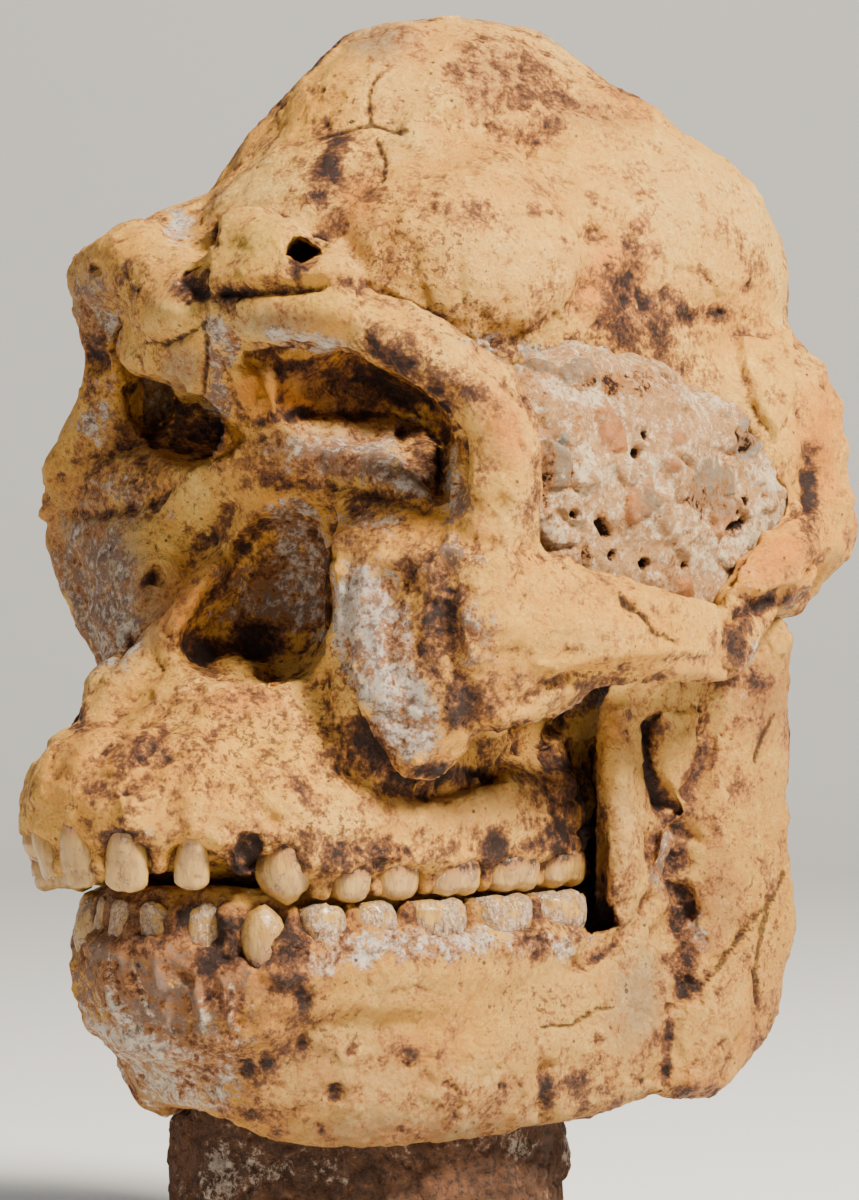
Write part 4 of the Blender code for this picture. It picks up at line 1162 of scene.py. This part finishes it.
enamel = Finish("enamel")
streak = enamel.spread(enamel.cloud(1.4, 5.0, 0.65, stretch=(1, 1, 4)))
patchy = enamel.spread(enamel.cloud(2.6, 6.0, 0.7))
fine = enamel.spread(enamel.cloud(0.6, 4.0, 0.7, stretch=(1, 1, 3)))
grain = enamel.spread(enamel.cloud(1.0, 5.0, 0.75, offset=4.0))
colour = enamel.mix(enamel.math("MULTIPLY", streak, 0.8), ENAMEL_PALE, ENAMEL_TAN)
root = enamel.plus(enamel.plus(enamel.layer("root"), patchy, 0.5), fine, 0.25)
colour = enamel.mix(enamel.between(root, 0.30, 0.75, 0.0, 0.9), colour, ROOT_BROWN)
colour = enamel.mix(enamel.between(root, 0.75, 1.1), colour, STAIN_DARK)
coat = enamel.plus(enamel.plus(enamel.layer("coat"), patchy, 0.8), grain, 0.3)
coat = enamel.between(coat, 0.45, 0.75)
colour = enamel.mix(coat, colour, enamel.mix(grain, COAT_BROWN, COAT_PALE))
split = enamel.between(enamel.cells(2.4, "DISTANCE_TO_EDGE").outputs["Distance"], 0.0, 0.03, 0.7, 0.0)
split = enamel.math("MULTIPLY", split, enamel.between(patchy, 0.5, 0.8))
colour = enamel.mix(split, colour, STAIN_UMBER)
normal = enamel.bump(streak, 0.12)
normal = enamel.bump(enamel.math("MULTIPLY", coat, fine), 0.4, normal)
enamel.shader.inputs["Coat Weight"].default_value = 0.18
enamel.shader.inputs["Coat Roughness"].default_value = 0.18
rough = enamel.between(enamel.math("ADD", coat, enamel.math("MULTIPLY", root, 0.4)), 0.0, 1.2, 0.30, 0.8)
enamel_material = enamel.surface(colour, rough, normal)


def tooth_mesh(name, middle, outward, up):
    """A tooth turned up in rings, with grooves between its cusps and a worn, chipped edge."""
    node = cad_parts[name]
    corners = np.array([tuple(vert.co) for vert in node.data.vertices]) * 1000.0
    along = Vector((-outward.y, outward.x, 0.0))
    half_along = np.ptp(corners @ np.array(along)) / 2 * WIDTH_SHARES.get(name, 1.0)
    half_across = np.ptp(corners @ np.array(outward)) / 2
    tip = (corners[:, 2].min() if up > 0 else corners[:, 2].max())
    length = np.ptp(corners[:, 2])
    kind = name.split("_")[2]
    form = np.array(TOOTH_FORMS[kind])
    heights = np.linspace(0.0, 1.0, TOOTH_RINGS) ** 1.25
    turn = np.linspace(0.0, 2 * math.pi, TOOTH_SIDES, endpoint=False)
    squareness = 0.72 if kind in ("molar", "premolar") else 0.88
    ca = np.sign(np.cos(turn)) * np.abs(np.cos(turn)) ** squareness
    sa = np.sign(np.sin(turn)) * np.abs(np.sin(turn)) ** squareness
    groove = np.exp(-((np.cos(turn) / 0.22) ** 2)) * (1.0 if kind == "molar" else 0.0)
    rings = []
    for height in heights:
        wide = np.interp(height, form[:, 0], form[:, 1])
        deep = np.interp(height, form[:, 0], form[:, 2])
        low = 1.0 - eased(np.array(height), 0.0, 0.5)
        x = half_along * wide * ca
        y = half_across * deep * sa * (1.0 - 0.10 * groove * low)
        wear = 0.05 * length * low * groove + 0.03 * length * low * np.cos(2 * turn)
        rings.append(np.stack([x, y, height * length + wear], axis=1))
    points = np.concatenate([[(0.0, 0.0, 0.06 * length)], rings[0] * (0.5, 0.5, 1.0) + (0, 0, 0.4), *rings])
    placed = (points[:, :1] * np.array(along) + points[:, 1:2] * np.array(outward)
              + np.array([[0.0, 0.0, up]]) * points[:, 2:] + np.array([middle.x, middle.y, tip]))
    outside = placed - np.array(middle)
    outside /= np.linalg.norm(outside, axis=1)[:, None]
    placed += outside * (0.5 * (cloud(placed, 3.0, 41, 3) - 0.5))[:, None]
    chip = eased(cloud(placed, 2.4, 47, 2), 0.66, 0.76) * eased(-points[:, 2] / length, -0.35, -0.1)
    placed -= outside * (0.6 * chip)[:, None]

    bm = bmesh.new()
    verts = [bm.verts.new(point / 1000.0) for point in placed]
    loops = [verts[1 + k * TOOTH_SIDES:1 + (k + 1) * TOOTH_SIDES] for k in range(TOOTH_RINGS + 1)]
    for i in range(TOOTH_SIDES):
        j = (i + 1) % TOOTH_SIDES
        bm.faces.new((verts[0], loops[0][i], loops[0][j]))
        for low_loop, high_loop in zip(loops, loops[1:]):
            bm.faces.new((low_loop[i], high_loop[i], high_loop[j], low_loop[j]))
    bm.faces.new(loops[-1])
    bmesh.ops.recalc_face_normals(bm, faces=bm.faces)
    mesh = bpy.data.meshes.new(name + "_tooth")
    bm.to_mesh(mesh)
    bm.free()
    share = points[:, 2] / length
    neck = UPPER_GUM if up > 0 else LOWER_GUM
    crown = (neck["_".join(name.split("_")[2:])] - 1.2) / length
    layers = {"root": 0.28 + 0.75 * eased(share, crown * 0.75, crown * 1.35),
              "coat": np.full(len(points), 0.58 if name.startswith(COATED) else 0.16)}
    for layer, values in layers.items():
        mesh.attributes.new(layer, "FLOAT", "POINT").data.foreach_set("value", values)
    mesh.shade_smooth()
    return mesh


for row, up in (("lower", -1), ("upper", 1)):
    for name, middle, outward in tooth_row(row):
        tooth = in_scene(name + "_tooth", tooth_mesh(name, middle, outward, up))
        tooth.data.materials.append(enamel_material)
        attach(tooth, "root")
        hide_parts(name)


# Room.
# A plain pale table that curves up into a wall, a large soft lamp from the upper right and a weak
# one from the left.

TABLE_PALE = (0.78, 0.77, 0.75)
table_finish = Finish("table")
table_finish.surface((*TABLE_PALE, 1.0), 0.9, table_finish.bump(table_finish.cloud(3.0), 0.01))
profile = [(-3.0, 0.0), (1.2, 0.0)]
profile += [(1.2 + 0.6 * math.sin(t), 0.6 - 0.6 * math.cos(t)) for t in np.linspace(0.1, math.pi / 2, 12)]
profile += [(1.8, 3.0)]
back = -toward_camera
bm = bmesh.new()
rows = []
for depth, height in profile:
    rows.append([bm.verts.new(back * depth + photo_right * across + Vector((0, 0, height)))
                 for across in (-4.0, 4.0)])
for low, high in zip(rows, rows[1:]):
    bm.faces.new((low[0], low[1], high[1], high[0]))
bmesh.ops.recalc_face_normals(bm, faces=bm.faces)
table_mesh = bpy.data.meshes.new("table")
bm.to_mesh(table_mesh)
bm.free()
table_mesh.shade_smooth()
table_mesh.materials.append(table_finish.material)
table = in_scene("table", table_mesh)


def soft_lamp(name, place, size, power, warmth):
    lamp = bpy.data.objects.new(name, bpy.data.lights.new(name, "AREA"))
    lamp.data.size = size
    lamp.data.energy = power
    lamp.data.color = warmth
    lamp.location = place
    lamp.rotation_mode = "QUATERNION"
    lamp.rotation_quaternion = (looked_at - place).to_track_quat("-Z", "Y")
    bpy.context.scene.collection.objects.link(lamp)


up = Vector((0.0, 0.0, 1.0))
soft_lamp("key", looked_at + toward_camera * 0.58 + photo_right * 0.60 + up * 0.88, 0.26, 62.0,
          (1.0, 0.93, 0.80))
soft_lamp("fill", looked_at + toward_camera * 0.6 - photo_right * 1.0 + up * 0.3, 0.8, 2.5, (0.90, 0.94, 1.0))

world = bpy.data.worlds.new("room")
world.use_nodes = True
world.node_tree.nodes["Background"].inputs["Color"].default_value = (0.9, 0.93, 1.0, 1.0)
world.node_tree.nodes["Background"].inputs["Strength"].default_value = 0.22
bpy.context.scene.world = world
